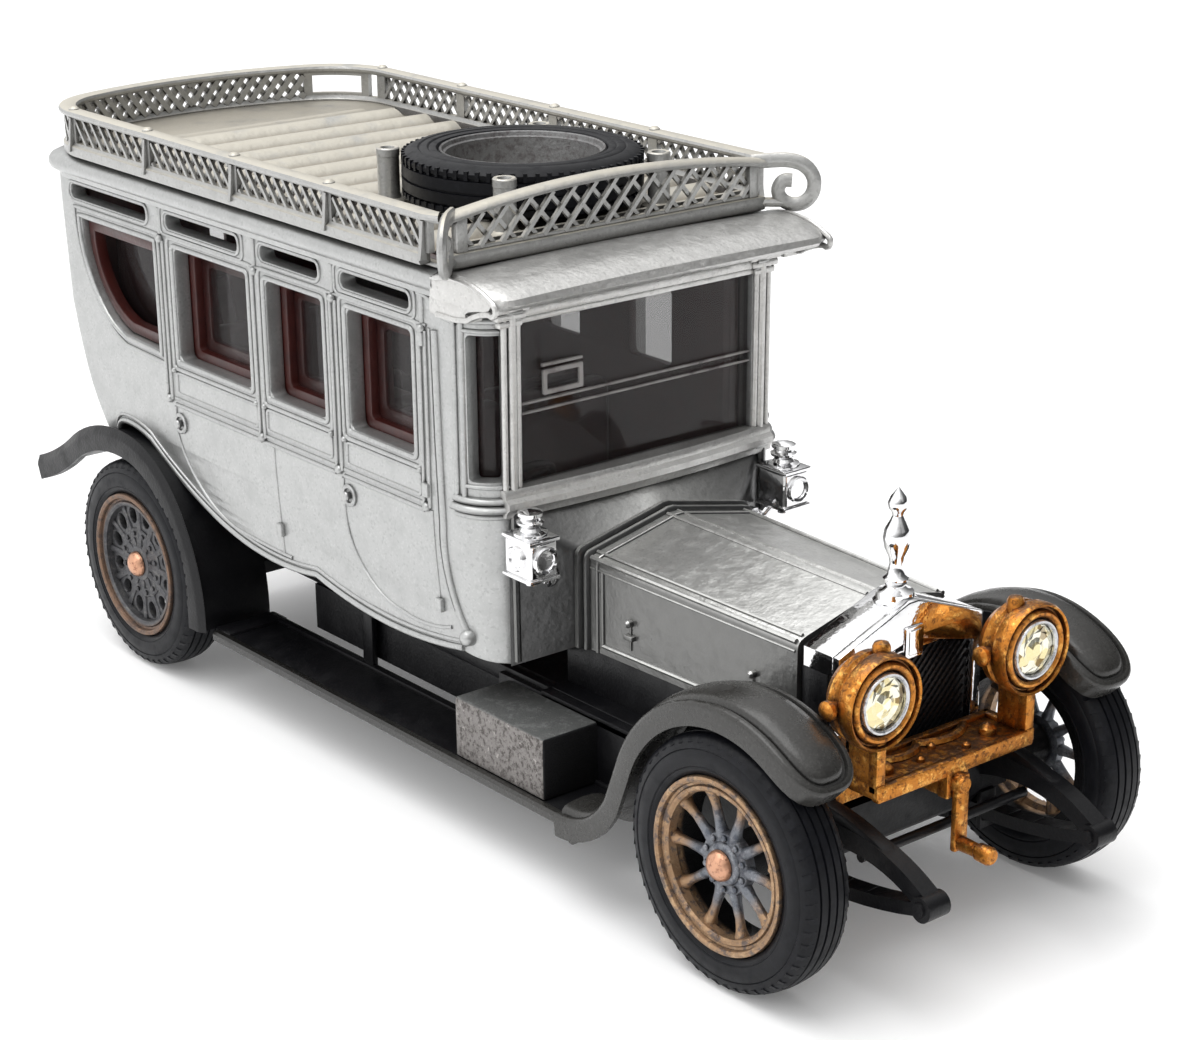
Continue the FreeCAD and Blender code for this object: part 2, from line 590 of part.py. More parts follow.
def side_lamp(side):
    """Square coach lamp with a stepped finial, front boss and bracket arm."""
    x = SIDE_LAMP_X
    y = SIDE_LAMP_Y
    z = SIDE_LAMP_Z
    case = box(x - 1.4, x + 1.4, y - 1.8, y + 1.8, z, z + 3.4)
    top = turned([(1.4, 0), (1.4, 0.4), (0.8, 0.7), (0.8, 1.2), (1.25, 1.4), (1.25, 1.8),
                  (0.5, 2.35)], x, y, z + 3.3)
    glass = rod((x, y - 2.2, z + 1.7), (x, y - 1.7, z + 1.7), 1.1)
    arm = rod((x, y, z + 0.5), (10.8, y + 1.2, z - 0.8), 0.6)
    base = turned([(1.0, 0), (1.3, 0.5)], x, y, z - 0.4)
    lamp = fuse([case, top, glass, arm, base]).cut(bonnet_scuttle())
    return lamp if side > 0 else mirror_x(lamp)


# ---------------------------------------------------------------- underside
def wing_band(yc, angles, r, t, x0, x1):
    """Curved sheet of a mudguard round a wheel centre, between two angles."""
    a0 = math.radians(angles[0])
    a1 = math.radians(angles[1])
    am = 0.5 * (a0 + a1)

    def at(radius, a):
        return (yc - radius * math.cos(a), TYRE_R + radius * math.sin(a))

    path = [
        (at(r, a0), at(r, am), at(r, a1)),
        (at(r, a1), at(r - t, a1)),
        (at(r - t, a1), at(r - t, am), at(r - t, a0)),
        (at(r - t, a0), at(r, a0)),
    ]
    return slab_x(path, x0, x1)


def on_wing(yc, radius, degrees):
    """Point (y, z) on a mudguard arc; angles start level in front and climb."""
    a = math.radians(degrees)
    return (yc - radius * math.cos(a), TYRE_R + radius * math.sin(a))


def front_wing():
    """Front mudguard arc with its sweep down to the running board."""
    yc = FRONT_AXLE_Y
    under_r = WING_R - WING_T
    low = BOARD_TOP_Z - BOARD_T
    arc = wing_band(yc, (38, 155), WING_R, WING_T, WING_IN_X, 18.3)
    top = on_wing(yc, WING_R, 155)
    under = on_wing(yc, under_r, 155)
    sweep = slab_x([
        (top, (-30.6, 9.6), (-25.0, BOARD_TOP_Z)),
        ((-25.0, BOARD_TOP_Z), (-25.0, low)),
        ((-25.0, low), (-31.6, 8.9), under),
        (under, top),
    ], APRON_OUT_X, 18.0)
    web = wing_band(yc, (98, 150), WING_R - 0.2, 1.4, APRON_IN_X - 0.5, WING_IN_X + 0.1)
    shelf = box(APRON_IN_X, APRON_OUT_X + 0.4, -41.0, -24.0, FLOOR_Z, FLOOR_Z + FLOOR_T)
    return [arc, sweep, web, shelf]


def rear_wing():
    """Rear mudguard arc, its heel on the running board and its flicked-out tail."""
    yc = REAR_AXLE_Y
    low = BOARD_TOP_Z - BOARD_T
    r = WING_R - 0.3
    under_r = r - WING_T
    arc = wing_band(yc, (8, 118), r, WING_T, APRON_OUT_X, 18.2)
    top = on_wing(yc, r, 118)
    under = on_wing(yc, under_r, 118)
    tail = slab_x([
        (top, (52.0, 18.7), (HALF_LENGTH, 15.7)),
        ((HALF_LENGTH, 15.7), (HALF_LENGTH - 0.4, 14.9)),
        ((HALF_LENGTH - 0.4, 14.9), (51.4, 17.8), under),
        (under, top),
    ], 11.6, 18.25)
    foot = on_wing(yc, r, 8)
    heel = prism_x([(28.4, low), (foot[0] + 0.9, foot[1] + 0.3), foot, (25.5, low)],
                   APRON_OUT_X, 18.0)
    web = wing_band(yc, (20, 110), r - 0.1, 1.6, APRON_IN_X - 0.5, APRON_OUT_X + 0.6)
    return [arc, tail, heel, web]


def mudguard_casting():
    """Wings, running boards and the floor that ties them, as one casting."""
    low = BOARD_TOP_Z - BOARD_T
    board = box(APRON_IN_X + 0.3, BOARD_HALF_W, -25.2, 28.4, low, BOARD_TOP_Z)
    apron = box(APRON_IN_X, APRON_OUT_X, -24.8, OPEN_Y[0], low, FLOOR_Z + 0.2)
    pieces = [
        box(-APRON_OUT_X, APRON_OUT_X, -41.5, 50.5, FLOOR_Z, FLOOR_Z + FLOOR_T),
        box(-7.9, 7.9, -42.0, -17.4, FLOOR_Z + 0.5, BONNET_LOW_Z),
        box(-9.4, 9.4, -18.0, BODY_FRONT_Y - 0.2, FLOOR_Z + 0.5, 15.2),
    ]
    for piece in front_wing() + rear_wing() + [board, apron]:
        pieces += both(piece)
    tools = [coach_block(), prism_y([(-15.2, 15), (15.2, 15), (15.2, 30), (-15.2, 30)], 26, 47)]
    for yc in (FRONT_AXLE_Y, REAR_AXLE_Y):
        tools += both(rod((12.6, yc, TYRE_R), (30, yc, TYRE_R), TYRE_R + 0.55))
        tools += both(rod((9, yc, TYRE_R), (30, yc, TYRE_R), 2.4))
    for y in SCREWS_Y:
        tools.append(rod((0, y, 0), (0, y, FLOOR_Z + FLOOR_T), SCREW_R))
    return cut(fuse(pieces), tools)


def base_screws():
    """Two screws that clamp the chassis to the mudguard casting."""
    pieces = []
    for y in SCREWS_Y:
        pieces.append(rod((0, y, CHASSIS_LOW_Z + 0.3), (0, y, CHASSIS_LOW_Z + 1.1),
                          SCREW_HEAD_R))
        pieces.append(rod((0, y, CHASSIS_LOW_Z + 1.0), (0, y, FLOOR_Z + FLOOR_T), SCREW_R))
    return Part.Compound([fuse(pieces[0:2]), fuse(pieces[2:4])])


def spring_leaf(y0, y1, sag, z_end, t, x0, x1):
    """Bowed leaf, lowest in the middle."""
    mid = 0.5 * (y0 + y1)
    return slab_x([
        ((y0, z_end), (mid, z_end - sag), (y1, z_end)),
        ((y1, z_end), (y1, z_end - t)),
        ((y1, z_end - t), (mid, z_end - sag - t), (y0, z_end - t)),
        ((y0, z_end - t), (y0, z_end)),
    ], x0, x1)


def chassis_frame():
    """Black chassis: rails, base plate with its pad, dumb irons, springs, axle beams."""
    rail = box(RAIL_IN_X, RAIL_OUT_X, -44.0, OPEN_Y[0], CHASSIS_LOW_Z, FLOOR_Z)
    rear_rail = box(RAIL_IN_X, RAIL_OUT_X, OPEN_Y[1], 50.0, CHASSIS_LOW_Z, FLOOR_Z)
    spine = box(-3.0, 3.0, OPEN_Y[0] - 1, OPEN_Y[1] + 1, CHASSIS_LOW_Z + 0.3, FLOOR_Z)
    horn = slab_x([
        ((-44.0, FLOOR_Z), (-51.5, 12.6), (-58.0, 10.2)),
        ((-58.0, 10.2), (-58.0, 8.6)),
        ((-58.0, 8.6), (-51.0, 11.0), (-44.0, FLOOR_Z - 2.4)),
        ((-44.0, FLOOR_Z - 2.4), (-44.0, FLOOR_Z)),
    ], RAIL_IN_X, RAIL_OUT_X)
    eye = rod((RAIL_IN_X - 0.3, -58.0, 9.2), (RAIL_OUT_X + 0.3, -58.0, 9.2), 1.0)
    leaf = spring_leaf(-57.8, -33.0, 1.9, 9.6, 1.1, RAIL_IN_X, RAIL_OUT_X)
    shackle = box(RAIL_IN_X, RAIL_OUT_X, -34.0, -33.0, CHASSIS_LOW_Z, 9.8)
    rear_leaf = spring_leaf(OPEN_Y[1] + 0.5, 54.0, 1.4, 8.6, 1.1, RAIL_IN_X, RAIL_OUT_X)
    rear_arm = slab_x([
        ((49.0, FLOOR_Z), (52.0, 11.2), (54.0, 8.8)),
        ((54.0, 8.8), (54.0, 7.5)),
        ((54.0, 7.5), (51.5, 8.6), (49.0, FLOOR_Z - 2.2)),
        ((49.0, FLOOR_Z - 2.2), (49.0, FLOOR_Z)),
    ], RAIL_IN_X, RAIL_OUT_X)
    spindles = [rod((11.0, yc, TYRE_R), (13.0, yc, TYRE_R), 1.4)
                for yc in (FRONT_AXLE_Y, REAR_AXLE_Y)]
    low = CHASSIS_LOW_Z
    plate = box(-RAIL_OUT_X, RAIL_OUT_X, -32.0, OPEN_Y[0], low, low + 1.3)
    rear_plate = box(-RAIL_OUT_X, RAIL_OUT_X, OPEN_Y[1], 50.0, low, low + 1.3)
    pad = box(-7.5, 7.5, -28.0, OPEN_Y[0] - 1, CHASSIS_LOW_Z - REST_PAD_T, CHASSIS_LOW_Z + 0.1)
    sump = box(-3.4, 3.4, -43.5, -31.8, CHASSIS_LOW_Z + 0.4, FLOOR_Z)
    beam_front = box(-11.6, 11.6, FRONT_AXLE_Y - 1.5, FRONT_AXLE_Y + 1.5,
                     TYRE_R - 1.5, TYRE_R + 1.5)
    beam_rear = box(-11.6, 11.6, REAR_AXLE_Y - 1.5, REAR_AXLE_Y + 1.5,
                    TYRE_R - 1.5, FLOOR_Z)
    gearbox = rod((0, REAR_AXLE_Y - 3.4, TYRE_R - 0.9), (0, REAR_AXLE_Y + 3.4, TYRE_R - 0.9), 2.4)
    pillars = [rod((0, y, CHASSIS_LOW_Z), (0, y, FLOOR_Z), 2.6) for y in SCREWS_Y]
    pieces = [plate, rear_plate, spine, pad, sump, beam_front, beam_rear, gearbox] + pillars
    for piece in [rail, rear_rail, horn, eye, leaf, shackle, rear_leaf, rear_arm] + spindles:
        pieces += both(piece)
    frame = fuse(pieces)
    tools = [box(-30, 30, -41.9, 60, FLOOR_Z, 20)]
    for yc in (FRONT_AXLE_Y, REAR_AXLE_Y):
        tools.append(rod((-20, yc, TYRE_R), (20, yc, TYRE_R), AXLE_R + BORE_GAP))
    for y in SCREWS_Y:
        tools.append(rod((0, y, 0), (0, y, 20), SCREW_R))
        tools.append(rod((0, y, 0), (0, y, CHASSIS_LOW_Z + 1.1), SCREW_HEAD_R))
    return cut(frame, tools)


def toolbox():
    """Metal box standing on the right-hand running board."""
    block = box(-16.6, -APRON_OUT_X, -21.9, -9.9, BOARD_TOP_Z, 12.2)
    upper = [e for e in block.Edges if e.BoundBox.ZMin > 12.0]
    return block.makeFillet(0.3, upper)


# ---------------------------------------------------------------- running gear
def axle(yc):
    """Pin with a domed head riveted over at each end."""
    pin_end = AXLE_END_X - 0.9
    pin = rod((-pin_end, yc, TYRE_R), (pin_end, yc, TYRE_R), AXLE_R)
    head = rod((pin_end - 0.02, yc, TYRE_R), (pin_end + 0.45, yc, TYRE_R), 1.25)
    dome = rod((pin_end + 0.45, yc, TYRE_R), (AXLE_END_X, yc, TYRE_R), 1.25, 0.5)
    return fuse([pin] + both(fuse([head, dome])))


def wheel_rim(side, yc, hub_r):
    """Spoked wheel: felloe ring, ten tapered spokes and a bolted hub."""
    s = side
    ring = spin_x([(14.3, 6.2), (14.3, RIM_R), (18.5, RIM_R), (18.5, 5.75), (17.3, 5.75),
                   (16.9, 6.2)], s, yc, TYRE_R)
    x_hub = (13.1, 17.85)
    hub = rod((s * x_hub[0], yc, TYRE_R), (s * x_hub[1], yc, TYRE_R), 1.9)
    flange = rod((s * 16.9, yc, TYRE_R), (s * 17.6, yc, TYRE_R), hub_r)
    pieces = [ring, hub, flange]
    for i in range(SPOKES):
        a = 2 * math.pi * i / SPOKES
        y = math.sin(a)
        z = math.cos(a)
        inner = (s * 17.0, yc + 1.5 * y, TYRE_R + 1.5 * z)
        outer = (s * 17.0, yc + 6.2 * y, TYRE_R + 6.2 * z)
        pieces.append(rod(inner, outer, 0.50, 0.42))
    for i in range(SPOKES):
        a = 2 * math.pi * (i + 0.5) / SPOKES
        y = yc + (hub_r - 0.55) * math.sin(a)
        z = TYRE_R + (hub_r - 0.55) * math.cos(a)
        pieces.append(rod((s * 17.4, y, z), (s * 17.85, y, z), 0.26))
    wheel = fuse(pieces)
    bore = rod((s * 10, yc, TYRE_R), (s * 20, yc, TYRE_R), AXLE_R + BORE_GAP)
    recess = rod((s * 17.87, yc, TYRE_R), (s * 20, yc, TYRE_R), 1.3)
    return cut(wheel, [bore, recess])


def tyre(side, yc):
    """Narrow tyre with a rounded tread and three fine grooves."""
    i = TYRE_IN_X
    o = TYRE_OUT_X
    m = 0.5 * (i + o)
    profile = [(i + 0.5, RIM_R), (i, RIM_R + 0.9), (i, TYRE_R - 1.2), (i + 0.45, TYRE_R - 0.35),
               (i + 1.2, TYRE_R - 0.05), (m - 0.7, TYRE_R), (m - 0.6, TYRE_R - 0.2),
               (m - 0.4, TYRE_R - 0.2), (m - 0.3, TYRE_R), (m + 0.3, TYRE_R),
               (m + 0.4, TYRE_R - 0.2), (m + 0.6, TYRE_R - 0.2), (m + 0.7, TYRE_R),
               (o - 1.2, TYRE_R - 0.05), (o - 0.45, TYRE_R - 0.35), (o, TYRE_R - 1.2),
               (o, RIM_R + 0.9), (o - 0.3, RIM_R)]
    return spin_x(profile, side, yc, TYRE_R)


# ---------------------------------------------------------------- write every piece
PIECES = {
    "body_shell": body_shell(),
    "roof_rack": roof_rack(),
    "spare_tyre": spare_tyre(),
    "spare_tyre_ring": spare_tyre_ring(),
    "glazing": glazing(),
    "interior_tub": interior_tub(),
    "steering_wheel": steering_wheel(),
    "bonnet_scuttle": bonnet_scuttle(),
    "radiator_grille": radiator_grille(),
    "radiator_shell": radiator_shell(),
    "radiator_cap": radiator_cap(),
    "headlamp_bracket": headlamp_bracket(),
    "starting_handle": starting_handle(),
    "chassis_frame": chassis_frame(),
    "mudguard_casting": mudguard_casting(),
    "base_screws": base_screws(),
    "toolbox": toolbox(),
    "front_axle": axle(FRONT_AXLE_Y),
    "rear_axle": axle(REAR_AXLE_Y),
}
for name, side in (("left", 1), ("right", -1)):
    PIECES["headlamp_shell_" + name] = headlamp_shell(side)
    PIECES["headlamp_ring_" + name] = headlamp_ring(side)
    PIECES["headlamp_jewel_" + name] = headlamp_jewel(side)
    PIECES["side_lamp_" + name] = side_lamp(side)
    PIECES["wheel_rim_front_" + name] = wheel_rim(side, FRONT_AXLE_Y, 2.5)
    PIECES["wheel_rim_rear_" + name] = wheel_rim(side, REAR_AXLE_Y, 3.3)
    PIECES["tyre_front_" + name] = tyre(side, FRONT_AXLE_Y)
    PIECES["tyre_rear_" + name] = tyre(side, REAR_AXLE_Y)

for node, shape in PIECES.items():
    shape.exportStep("parts/" + node + ".step")
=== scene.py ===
import math

import bmesh
import bpy
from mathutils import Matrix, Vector


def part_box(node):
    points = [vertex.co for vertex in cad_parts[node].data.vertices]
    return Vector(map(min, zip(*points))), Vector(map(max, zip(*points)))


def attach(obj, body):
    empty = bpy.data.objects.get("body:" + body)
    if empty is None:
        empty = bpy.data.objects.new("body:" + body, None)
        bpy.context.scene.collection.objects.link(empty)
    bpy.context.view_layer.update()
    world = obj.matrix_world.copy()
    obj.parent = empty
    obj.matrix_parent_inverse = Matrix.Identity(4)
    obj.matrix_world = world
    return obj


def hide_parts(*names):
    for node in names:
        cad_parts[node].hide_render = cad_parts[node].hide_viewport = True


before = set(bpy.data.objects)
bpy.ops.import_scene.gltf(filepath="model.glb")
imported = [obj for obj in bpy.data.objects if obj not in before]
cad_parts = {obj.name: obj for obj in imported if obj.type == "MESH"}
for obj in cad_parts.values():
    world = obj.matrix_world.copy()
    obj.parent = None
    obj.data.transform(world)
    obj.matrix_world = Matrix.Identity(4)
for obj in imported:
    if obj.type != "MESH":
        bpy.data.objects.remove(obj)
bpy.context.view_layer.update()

MM = 0.001
CAR = "car"
SIDES = (("left", 1), ("right", -1))


# ------------------------------------------------------------------ sizes from the frame, in mm
def box(node):
    """Lowest and highest corner of a CAD node."""
    lo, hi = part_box(node)
    return lo / MM, hi / MM


def middle(node):
    lo, hi = box(node)
    return (lo + hi) / 2


def half_height(node):
    lo, hi = box(node)
    return (hi.z - lo.z) / 2


TYRE_R = half_height("tyre_front_left")
TYRE_IN, TYRE_OUT = (corner.x for corner in box("tyre_front_left"))
RIM_R = half_height("wheel_rim_front_left")
AXLE_Z = TYRE_R
AXLE_Y = {"front": middle("front_axle").y, "rear": middle("rear_axle").y}
HEAD_X = box("front_axle")[1].x

BONNET_FRONT, BODY_FRONT = (corner.y for corner in box("bonnet_scuttle"))
BONNET_REAR = -17.2
BODY_W = 16.3                       # window plane, half width
BODY_REAR = box("body_shell")[1].y - 1.3
CORNER_R = 3.6
REAR_BOW = 1.33                     # how far the middle of the tail stands out past its corners
GLASS_LOW, GLASS_TOP = 32.1, 42.5
WALL_LOW, WALL_TOP = 15.5, 47.8
DOORS = ((19.8, 32.1), (8.0, 16.8), (-5.0, 4.3))
VENTS = ((36.6, 50.6), (21.0, 33.2), (8.4, 17.4), (-4.8, 5.0))
CORNER_LIGHT = (-15.3, -12.1)       # ends of the bent pane, as distances round the plan

RACK_W = 17.4
RACK_FRONT = -10.8
RACK_REAR = BODY_REAR + 0.1
RACK_LOW, RACK_HEAD = 50.15, 52.55  # lower and upper ends of the lattice
POST_Y = (33.2, 18.7, 4.3)
TAIL_POST = 46.6
BAYS = ((-8.6, 3.5), (5.1, 17.9), (19.5, 32.4), (34.0, 46.0))
GAP = (49.3, 54.6)                  # opening in the left rear corner, as distances round the plan
SPARE = middle("spare_tyre")

RAD_LO, RAD_HI = box("radiator_shell")
LAMP = {n: middle("headlamp_ring_" + n) for n, s in SIDES}
LAMP_FACE = box("headlamp_ring_left")[0].y
LAMP_R = half_height("headlamp_shell_left")
LENS_R = 2.42
SHELF_FRONT, SHELF_W = -51.6, 8.5
BOARD_TOP = box("toolbox")[0].z
BOARD_OUT = 17.4
WING_IN, WING_OUT = 12.1, 18.3
TAIL_Y = box("mudguard_casting")[1].y


# ------------------------------------------------------------------ small geometry kit
def smooth(t):
    t = max(0.0, min(1.0, t))
    return t * t * (3 - 2 * t)


def mix(a, b, t):
    return a + (b - a) * t


def arc(p0, p1, p2, n=12):
    """Points on the circle through three flat points, ends included."""
    ax, ay = p0
    bx, by = p1
    cx, cy = p2
    d = 2 * (ax * (by - cy) + bx * (cy - ay) + cx * (ay - by))
    a2, b2, c2 = ax * ax + ay * ay, bx * bx + by * by, cx * cx + cy * cy
    ux = (a2 * (by - cy) + b2 * (cy - ay) + c2 * (ay - by)) / d
    uy = (a2 * (cx - bx) + b2 * (ax - cx) + c2 * (bx - ax)) / d
    r = math.hypot(ax - ux, ay - uy)
    a0 = math.atan2(ay - uy, ax - ux)
    a1 = math.atan2(by - uy, bx - ux)
    a2 = math.atan2(cy - uy, cx - ux)
    turn = 2 * math.pi
    sweep = (a2 - a0) % turn
    if (a1 - a0) % turn > sweep:
        sweep -= turn
    return [(ux + r * math.cos(a0 + sweep * i / n), uy + r * math.sin(a0 + sweep * i / n))
            for i in range(n + 1)]


def distances(points):
    """Running length along a line of points."""
    out = [0.0]
    for a, b in zip(points, points[1:]):
        out.append(out[-1] + math.dist(a, b))
    return out


def between(dist, d):
    """Which step of a running length holds d, and the fraction along that step."""
    i = 0
    while i < len(dist) - 2 and dist[i + 1] < d:
        i += 1
    return i, (d - dist[i]) / max(dist[i + 1] - dist[i], 1e-9)


def chain(*parts):
    """One outline from several point lists, with doubled joints dropped."""
    out = []
    for part in parts:
        for p in part:
            if not out or math.dist(out[-1], p) > 1e-4:
                out.append(tuple(p))
    return out


def rounded(x0, x1, y0, y1, r, n=5):
    """Rectangle with round corners as a closed outline."""
    out = []
    for cx, cy, start in ((x1 - r, y1 - r, 0), (x0 + r, y1 - r, 90), (x0 + r, y0 + r, 180),
                          (x1 - r, y0 + r, 270)):
        for i in range(n + 1):
            a = math.radians(start + 90 * i / n)
            out.append((cx + r * math.cos(a), cy + r * math.sin(a)))
    return out


def circle(cx, cy, r, n=24):
    return [(cx + r * math.cos(2 * math.pi * i / n), cy + r * math.sin(2 * math.pi * i / n))
            for i in range(n)]


class Shape:
    """Collects closed shells, then turns them into one Blender piece."""

    def __init__(self):
        self.v = []
        self.f = []

    def grid(self, rows, wrap=False, loop=False, caps=True):
        """Quads through rows of points; wrap closes each row, loop joins last to first."""
        base = len(self.v)
        m = len(rows[0])
        n = len(rows)
        for row in rows:
            self.v += [tuple(p) for p in row]
        for i in range(n if loop else n - 1):
            k = (i + 1) % n
            for j in range(m if wrap else m - 1):
                q = (j + 1) % m
                self.f.append((base + i * m + j, base + i * m + q, base + k * m + q,
                               base + k * m + j))
        if wrap and not loop and caps:
            self.f.append(tuple(base + j for j in reversed(range(m))))
            self.f.append(tuple(base + (n - 1) * m + j for j in range(m)))
        return self

    def sweep(self, path, profile, up=(0, 0, 1), loop=False):
        """Profile (side, up) carried along a path; up is one vector or one per point."""
        pts = [Vector(p) for p in path]
        n = len(pts)
        ups = [Vector(u) for u in (up if isinstance(up, list) else [up] * n)]
        rows = []
        for i, p in enumerate(pts):
            a = pts[(i - 1) % n] if loop or i > 0 else p
            b = pts[(i + 1) % n] if loop or i < n - 1 else p
            along = (b - a).normalized()
            side = along.cross(ups[i]).normalized()
            u = side.cross(along)
            rows.append([p + side * x + u * y for x, y in profile])
        return self.grid(rows, wrap=True, loop=loop)

    def tube(self, path, r, n=8, up=(0.13, 0.07, 1)):
        """Round bar along a path; r is one radius or one per point."""
        ring = circle(0, 0, 1, n)
        if not isinstance(r, list):
            return self.sweep(path, [(r * x, r * y) for x, y in ring], up)
        start = len(self.v)
        self.sweep(path, ring, up)
        for i, (p, size) in enumerate(zip(path, r)):
            for k in range(start + i * n, start + (i + 1) * n):
                self.v[k] = tuple(Vector(p) + (Vector(self.v[k]) - Vector(p)) * size)
        return self

    def turn(self, profile, centre, axis="x", n=40, sign=1):
        """Turning: profile is (distance along the axis, radius) points."""
        cx, cy, cz = centre
        rows = []
        for d, r in profile:
            row = []
            for i in range(n):
                a = 2 * math.pi * i / n
                c, s = r * math.cos(a), r * math.sin(a)
                if axis == "x":
                    row.append((cx + sign * d, cy + c, cz + s))
                elif axis == "y":
                    row.append((cx + c, cy + sign * d, cz + s))
                else:
                    row.append((cx + c, cy + s, cz + sign * d))
            rows.append(row)
        return self.grid(rows, wrap=True)

    def ring(self, profile, centre, axis="x", n=48, sign=1):
        """Turning of a closed profile, such as a tyre."""
        self.turn(profile + profile[:1], centre, axis, n, sign)
        del self.f[-2:]
        return self

    def block(self, x0, x1, y0, y1, z0, z1, bevel=0.15, seg=2):
        """Box with rounded edges between two limits on each axis."""
        bm = bmesh.new()
        bmesh.ops.create_cube(bm, size=1)
        for v in bm.verts:
            v.co = Vector((mix(x0, x1, v.co.x + 0.5), mix(y0, y1, v.co.y + 0.5),
                           mix(z0, z1, v.co.z + 0.5)))
        bmesh.ops.bevel(bm, geom=bm.edges[:], offset=bevel, segments=seg, profile=0.5,
                        affect="EDGES", clamp_overlap=True)
        return self.take(bm)

    def take(self, bm, fn=None):
        bm.verts.index_update()
        base = len(self.v)
        self.v += [tuple(fn(v.co)) if fn else tuple(v.co) for v in bm.verts]
        self.f += [tuple(base + v.index for v in f.verts) for f in bm.faces]
        bm.free()
        return self

    def plate(self, outlines, low, high, fn, bevel=0.12, cuts=(), cuts2=()):
        """Flat plate with holes and rolled edges, bent into place by fn(a, b, height)."""
        curve = bpy.data.curves.new("plate", "CURVE")
        curve.dimensions = "2D"
        curve.fill_mode = "BOTH"
        curve.extrude = max((high - low) / 2 - bevel, 1e-4)
        curve.bevel_depth = bevel
        curve.bevel_resolution = 1
        curve.offset = -bevel
        for points in outlines:
            spline = curve.splines.new("POLY")
            spline.points.add(len(points) - 1)
            for q, p in zip(spline.points, points):
                q.co = (p[0], p[1], 0, 1)
            spline.use_cyclic_u = True
        holder = bpy.data.objects.new("plate", curve)
        bpy.context.scene.collection.objects.link(holder)
        graph = bpy.context.evaluated_depsgraph_get()
        mesh = bpy.data.meshes.new_from_object(holder.evaluated_get(graph))
        bm = bmesh.new()
        bm.from_mesh(mesh)
        bpy.data.objects.remove(holder)
        bpy.data.curves.remove(curve)
        bpy.data.meshes.remove(mesh)
        bmesh.ops.remove_doubles(bm, verts=bm.verts[:], dist=1e-4)
        for normal, places in (((1, 0, 0), cuts), ((0, 1, 0), cuts2)):
            for place in places:
                bmesh.ops.bisect_plane(bm, geom=bm.verts[:] + bm.edges[:] + bm.faces[:], dist=1e-5,
                                       plane_co=Vector(normal) * place, plane_no=normal)
        mid = (low + high) / 2
        return self.take(bm, lambda c: fn(c.x, c.y, c.z + mid))


    def band(self, track, side, s0, s1, profile, step=0.9):
        """Moulding that follows a plan outline: profile of (outwards, height)."""
        return self.grid([[track.place(s, z, o, side) for o, z in profile]
                          for s in track.walk(s0, s1, step)], wrap=True)

    def both(self):
        """Adds the mirror image across the car's middle plane."""
        base = len(self.v)
        self.v += [(-x, y, z) for x, y, z in self.v]
        self.f += [tuple(base + i for i in reversed(f)) for f in self.f]
        return self

    def done(self, name, material, body=CAR, nodes=(), slot=None, sharp=38):
        """Makes the Blender piece, which rides on a body and stands for some CAD nodes."""
        mesh = bpy.data.meshes.new(name)
        mesh.from_pydata([(x * MM, y * MM, z * MM) for x, y, z in self.v], [], self.f)
        mesh.validate()
        bm = bmesh.new()
        bm.from_mesh(mesh)
        bmesh.ops.recalc_face_normals(bm, faces=bm.faces[:])
        bm.to_mesh(mesh)
        bm.free()
        mesh.polygons.foreach_set("use_smooth", [True] * len(mesh.polygons))
        mesh.set_sharp_from_angle(angle=math.radians(sharp))
        mesh.materials.append(material)
        piece = bpy.data.objects.new(name, mesh)
        bpy.context.scene.collection.objects.link(piece)
        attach(piece, body)
        if nodes:
            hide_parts(*nodes)


